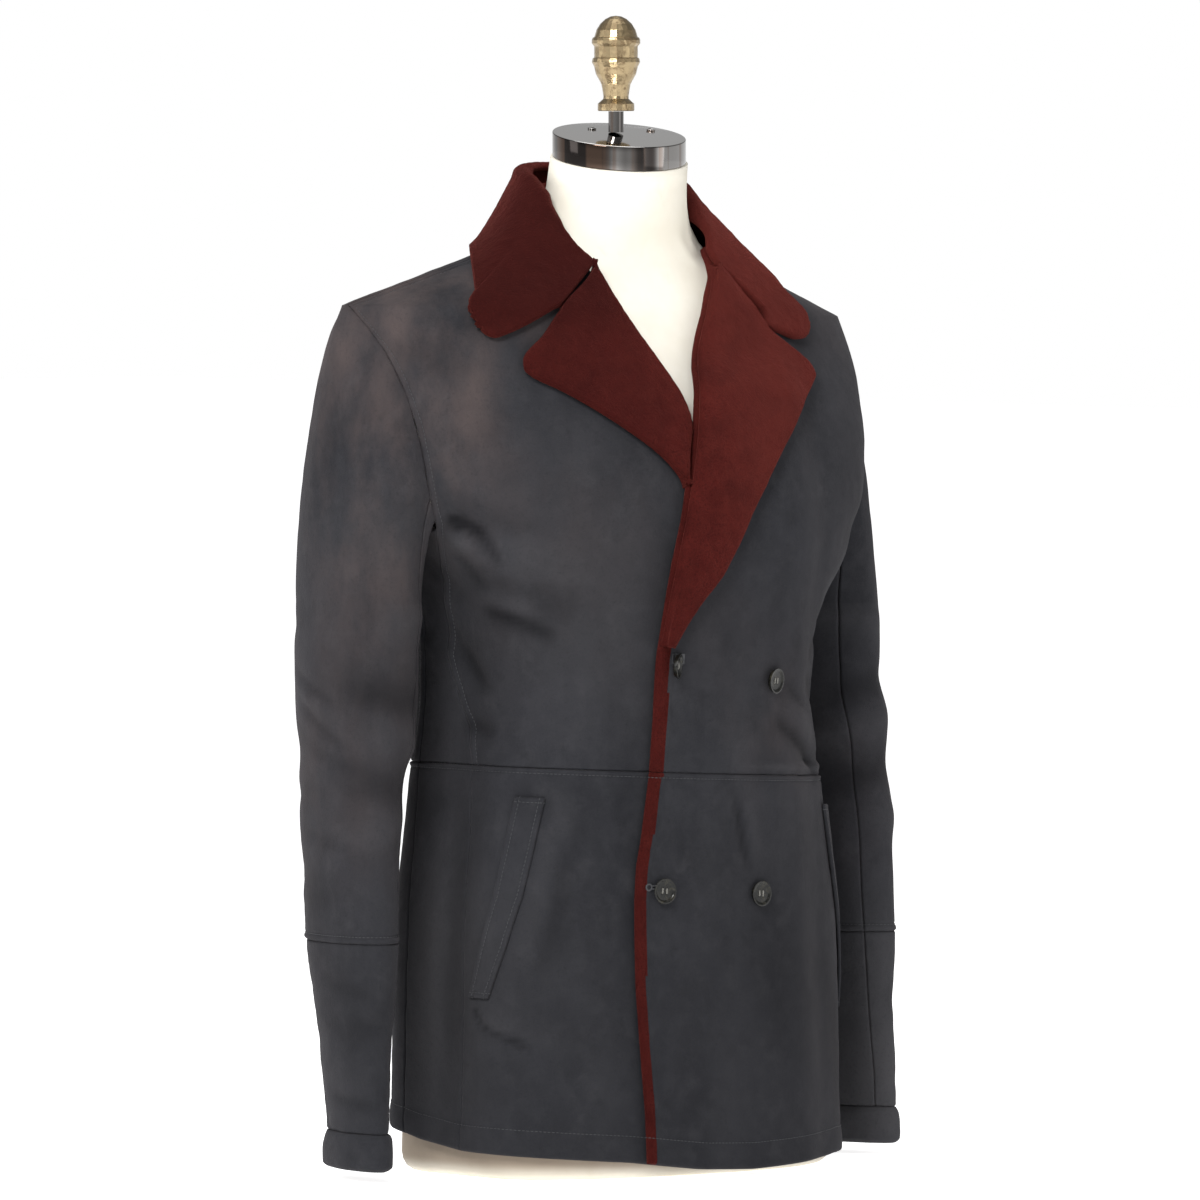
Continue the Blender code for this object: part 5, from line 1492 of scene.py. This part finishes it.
def cut_with(obj, cutter):
    """Takes the cutter's form out of the object."""
    alone(obj)
    cut = obj.modifiers.new("cut", "BOOLEAN")
    cut.operation = "DIFFERENCE"
    cut.solver = "EXACT"
    cut.object = cutter
    bpy.ops.object.modifier_apply(modifier="cut")
    bpy.data.objects.remove(cutter)


def cylinder(radius, height, place, sides=32):
    bpy.ops.object.select_all(action="DESELECT")
    bpy.ops.mesh.primitive_cylinder_add(vertices=sides, radius=radius, depth=height,
                                        location=place)
    bpy.ops.object.transform_apply(location=True, rotation=True, scale=True)
    return bpy.context.object


def bar(size, place, turn=0.0):
    bpy.ops.object.select_all(action="DESELECT")
    bpy.ops.mesh.primitive_cube_add(size=1, location=place, rotation=(0, 0, turn))
    obj = bpy.context.object
    obj.scale = size
    bpy.ops.object.transform_apply(location=True, rotation=True, scale=True)
    return obj


def round_edges(obj, width, segments, limit=30):
    alone(obj)
    bevel = obj.modifiers.new("round", "BEVEL")
    bevel.width = width
    bevel.segments = segments
    bevel.limit_method = "ANGLE"
    bevel.angle_limit = math.radians(limit)
    bpy.ops.object.modifier_apply(modifier="round")
    bpy.ops.object.shade_smooth_by_angle(angle=math.radians(34))


def model_button():
    """One dished button with a rim, four holes and the thread that holds it."""
    button = cylinder(BUTTON_RADIUS, BUTTON_HEIGHT, (0, 0, BUTTON_HEIGHT / 2), 72)
    choose_faces(button, lambda middle, normal: normal.z > 0.9)
    bpy.ops.mesh.inset(thickness=0.0017)
    bpy.ops.mesh.inset(thickness=0.0012)
    bpy.ops.transform.translate(value=(0, 0, -0.0013))
    choose_faces(button, lambda middle, normal: normal.z < -0.9)
    bpy.ops.transform.resize(value=(0.80, 0.80, 1.0))
    bpy.ops.object.mode_set(mode="OBJECT")
    round_edges(button, 0.00062, 4)
    for x in (-0.0019, 0.0019):
        for y in (-0.0019, 0.0019):
            cut_with(button, cylinder(0.00105, 0.02, (x, y, 0), 20))
    button.data.materials.append(HORN)
    strands = []
    for side in (-1, 1):
        for step in (-1, 0, 1):
            bpy.ops.object.select_all(action="DESELECT")
            bpy.ops.mesh.primitive_uv_sphere_add(
                segments=10, ring_count=8, radius=0.5,
                location=(side * 0.0019 + step * 0.00042, 0, BUTTON_HEIGHT - 0.00125))
            strand = bpy.context.object
            strand.scale = (0.00052, 0.0052, 0.0011)
            bpy.ops.object.transform_apply(location=True, rotation=True, scale=True)
            strand.data.materials.append(BUTTON_THREAD)
            strands.append(strand)
    alone(button)
    for strand in strands:
        strand.select_set(True)
    bpy.ops.object.join()
    bpy.ops.object.shade_smooth_by_angle(angle=math.radians(34))
    return button


def seat_matrix(x, z, out):
    """Axes beside, above and facing at a place on the left front."""
    lift = float(overlap_lift(x, z)) + out
    seat = hang(front_place(x, z, lift))
    beside = hang(front_place(x + 0.004, z, lift)) - hang(front_place(x - 0.004, z, lift))
    above = hang(front_place(x, z + 0.004, lift)) - hang(front_place(x, z - 0.004, lift))
    facing = np.cross(beside, above)
    facing /= np.linalg.norm(facing)
    beside /= np.linalg.norm(beside)
    above = np.cross(facing, beside)
    rows = [(beside[i], above[i], facing[i], seat[i]) for i in range(3)]
    return Matrix((*rows, (0, 0, 0, 1)))


def place_copy(model, name, place):
    """A copy with its own mesh, its place in the mesh."""
    obj = model.copy()
    obj.data = model.data.copy()
    obj.name = obj.data.name = name
    obj.data.transform(place)
    bpy.context.scene.collection.objects.link(obj)
    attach(obj, "root")
    return obj


def make_buttons():
    model = model_button()
    for node, (level, x, tip) in BUTTONS.items():
        place = seat_matrix(x * MM, level * MM, SEAM)
        lean = Matrix.Translation((0, 0, BUTTON_RADIUS * 0.60 * math.sin(math.radians(tip))))
        lean = lean @ Matrix.Rotation(math.radians(tip), 4, "Y")
        button = place_copy(model, node + "_horn", place @ lean)
        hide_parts(node)
    bpy.data.objects.remove(model)
    make_buttonholes()


def make_buttonholes():
    """A bound hole at the upper edge button and a keyhole at the lower one."""
    binding = bar((0.0110, 0.0082, 0.0016), (0, 0, 0.0003))
    choose_faces(binding, lambda middle, normal: normal.z > 0.9)
    bpy.ops.mesh.inset(thickness=0.0020)
    bpy.ops.transform.translate(value=(0, 0, -0.0011))
    bpy.ops.object.mode_set(mode="OBJECT")
    round_edges(binding, 0.00045, 3)
    binding.data.materials.append(THREAD)
    place_copy(binding, "bound_buttonhole", seat_matrix(-0.0405, 0.401, SEAM))
    bpy.data.objects.remove(binding)
    bpy.ops.object.select_all(action="DESELECT")
    bpy.ops.mesh.primitive_torus_add(major_radius=0.0024, minor_radius=0.00075,
                                     major_segments=28, minor_segments=10)
    keyhole = bpy.context.object
    pieces = []
    for offset in (-0.0011, 0.0011):
        rail = bar((0.0150, 0.0014, 0.0012), (0.0095, offset, 0))
        round_edges(rail, 0.00045, 3)
        pieces.append(rail)
    alone(keyhole)
    for piece in pieces:
        piece.select_set(True)
    bpy.ops.object.join()
    bpy.ops.object.shade_smooth_by_angle(angle=math.radians(40))
    keyhole.data.materials.append(THREAD)
    place_copy(keyhole, "keyhole_buttonhole", seat_matrix(-0.0632, 0.2225, SEAM * 1.5))
    bpy.data.objects.remove(keyhole)


# ---------------------------------------------------------------- the form's cap and torso

CAP_HALF = (0.0545, 0.0480)
CAP_MIDDLE_Y = -0.0040
CAP_BOTTOM = 0.7863
CAP_HEIGHT = 0.0192
CAP_SLANT_Y = math.tan(math.radians(10.5))
CAP_SLANT_X = -math.tan(math.radians(-2.3))
CAP_SCREWS = ((-0.0071, 0.0213, 20), (0.0380, 0.0043, 65))


def slanted(x, y, height):
    """The cap's slant as a matrix, with the middle at (x, y) and a height over its bottom."""
    z = CAP_BOTTOM + height + CAP_SLANT_Y * (y - CAP_MIDDLE_Y) + CAP_SLANT_X * x
    return Matrix(((1, 0, 0, x), (0, 1, 0, y), (CAP_SLANT_X, CAP_SLANT_Y, 1, z), (0, 0, 0, 1)))


def make_cap():
    """Chromed cap of the neck with its two cross-slot screws."""
    cap = cylinder(1.0, CAP_HEIGHT, (0, 0, CAP_HEIGHT / 2), 96)
    cap.scale = (*CAP_HALF, 1.0)
    bpy.ops.object.transform_apply(location=False, rotation=False, scale=True)
    round_edges(cap, 0.0011, 4)
    cap.data.materials.append(CHROME)
    piece = place_copy(cap, "neck_cap_chrome", slanted(0, CAP_MIDDLE_Y, 0))
    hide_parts("neck_cap")
    bpy.data.objects.remove(cap)
    screw = cylinder(0.0034, 0.0013, (0, 0, 0.00065), 32)
    round_edges(screw, 0.0005, 3)
    for turn in (0, math.pi / 2):
        cut_with(screw, bar((0.0046, 0.0009, 0.0016), (0, 0, 0.0013), turn))
    screw.data.materials.append(CHROME)
    for number, (x, y, turn) in enumerate(CAP_SCREWS):
        turned = slanted(x, y, CAP_HEIGHT - 0.0001) @ Matrix.Rotation(math.radians(turn), 4, "Z")
        place_copy(screw, "cap_screw_%d" % (number + 1), turned)
    bpy.data.objects.remove(screw)


def make_torso():
    """The form's body with its shoulders and neck drawn smooth, as taut cloth is."""
    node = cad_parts["form_torso"]
    torso = bpy.data.objects.new("form_torso_cloth", node.data.copy())
    torso.data.transform(node.matrix_world)
    bpy.context.scene.collection.objects.link(torso)
    alone(torso)
    bpy.ops.object.mode_set(mode="EDIT")
    bpy.ops.mesh.select_all(action="SELECT")
    bpy.ops.mesh.remove_doubles(threshold=0.00002)
    bpy.ops.mesh.tris_convert_to_quads()
    bpy.ops.mesh.select_mode(type="VERT")
    bpy.ops.mesh.select_all(action="DESELECT")
    bpy.ops.object.mode_set(mode="OBJECT")
    for vertex in torso.data.vertices:
        vertex.select = 0.695 < vertex.co.z < 0.765
    bpy.ops.object.mode_set(mode="EDIT")
    bpy.ops.mesh.vertices_smooth(factor=0.5, repeat=14)
    bpy.ops.object.mode_set(mode="OBJECT")
    bpy.ops.object.shade_smooth_by_angle(angle=math.radians(48))
    torso.data.materials.clear()
    torso.data.materials.append(LINEN)
    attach(torso, "root")
    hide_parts("form_torso")


def dress(node, finish):
    """Gives a carried-over CAD node its material."""
    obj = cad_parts[node]
    obj.data.materials.clear()
    obj.data.materials.append(finish)
    for polygon in obj.data.polygons:
        polygon.material_index = 0


def make_stage():
    """Plain pale floor."""
    bpy.ops.object.select_all(action="DESELECT")
    bpy.ops.mesh.primitive_plane_add(size=30, location=(0, 6, 0))
    floor = bpy.context.object
    floor.name = "floor"
    paper = Finish("pale_paper")
    paper.shader.inputs["Roughness"].default_value = 0.9
    tone = paper.band(paper.noise(2, 2, 0.5), 0, 1)
    paper.join(paper.mix(tone, (0.925, 0.925, 0.925), (0.935, 0.935, 0.935)),
               paper.shader.inputs["Base Color"])
    paper.shader.inputs["Emission Color"].default_value = (1, 1, 1, 1)
    paper.shader.inputs["Emission Strength"].default_value = 0.82
    floor.data.materials.append(paper.material)


def make_light(name, place, aim, size, power, tint=(1, 1, 1)):
    data = bpy.data.lights.new(name, "AREA")
    data.shape = "RECTANGLE"
    data.size, data.size_y = size
    data.energy = power
    data.color = tint
    obj = bpy.data.objects.new(name, data)
    obj.location = place
    way = Vector(aim) - Vector(place)
    obj.rotation_euler = way.to_track_quat("-Z", "Y").to_euler()
    bpy.context.scene.collection.objects.link(obj)


def make_lights():
    """Four soft lights in a dim room with a white horizon."""
    middle = (0, 0, 0.45)
    make_light("key", (-3.1, -2.2, 3.0), middle, (1.5, 1.5), 190)
    make_light("fill", (2.2, -3.4, 1.3), middle, (2.6, 2.2), 30)
    make_light("rim_left", (-3.0, 1.2, 1.8), middle, (1.2, 2.2), 34)
    make_light("top", (0, 0, 3.4), middle, (2.5, 2.5), 40)
    world = bpy.data.worlds.new("white_room")
    world.use_nodes = True
    nodes, links = world.node_tree.nodes, world.node_tree.links
    place = nodes.new("ShaderNodeTexCoord")
    parts = nodes.new("ShaderNodeSeparateXYZ")
    level = nodes.new("ShaderNodeMath")
    level.operation = "ABSOLUTE"
    fade = nodes.new("ShaderNodeMapRange")
    for socket, value in zip(("From Min", "From Max", "To Min", "To Max"), (0.10, 0.20, 1.0, 0.32)):
        fade.inputs[socket].default_value = value
    links.new(place.outputs["Generated"], parts.inputs[0])
    links.new(parts.outputs["Z"], level.inputs[0])
    links.new(level.outputs[0], fade.inputs["Value"])
    links.new(fade.outputs["Result"], nodes["Background"].inputs["Strength"])
    nodes["Background"].inputs["Color"].default_value = (1, 1, 1, 1)
    bpy.context.scene.world = world


# The camera, found from the photograph's cap, hem and base ellipses.
CAMERA_TURN = math.radians(38)
CAMERA_RISE = math.radians(2.2)
CAMERA_REACH = 12.0
CAMERA_AIM = (-0.00983, 0.00768, 0.4427)


def make_camera():
    data = bpy.data.cameras.new("camera")
    data.lens = 461.5
    data.sensor_width = 36
    data.clip_end = 60
    obj = bpy.data.objects.new("camera", data)
    aim = Vector(CAMERA_AIM)
    away = Vector((-math.sin(CAMERA_TURN) * math.cos(CAMERA_RISE),
                   -math.cos(CAMERA_TURN) * math.cos(CAMERA_RISE), math.sin(CAMERA_RISE)))
    obj.location = aim + away * CAMERA_REACH
    obj.rotation_euler = (-away).to_track_quat("-Z", "Y").to_euler()
    bpy.context.scene.collection.objects.link(obj)
    bpy.context.scene.camera = obj


make_fronts()
make_sides()
make_back()
make_lapels()
make_collar()
make_stand()
make_welts()
make_sleeves()
make_buttons()
make_torso()
make_cap()
dress("rod", CHROME)
dress("finial", BRASS)
make_stage()
make_lights()
make_camera()
scene = bpy.context.scene
scene.view_settings.view_transform = "Standard"
scene.view_settings.look = "None"
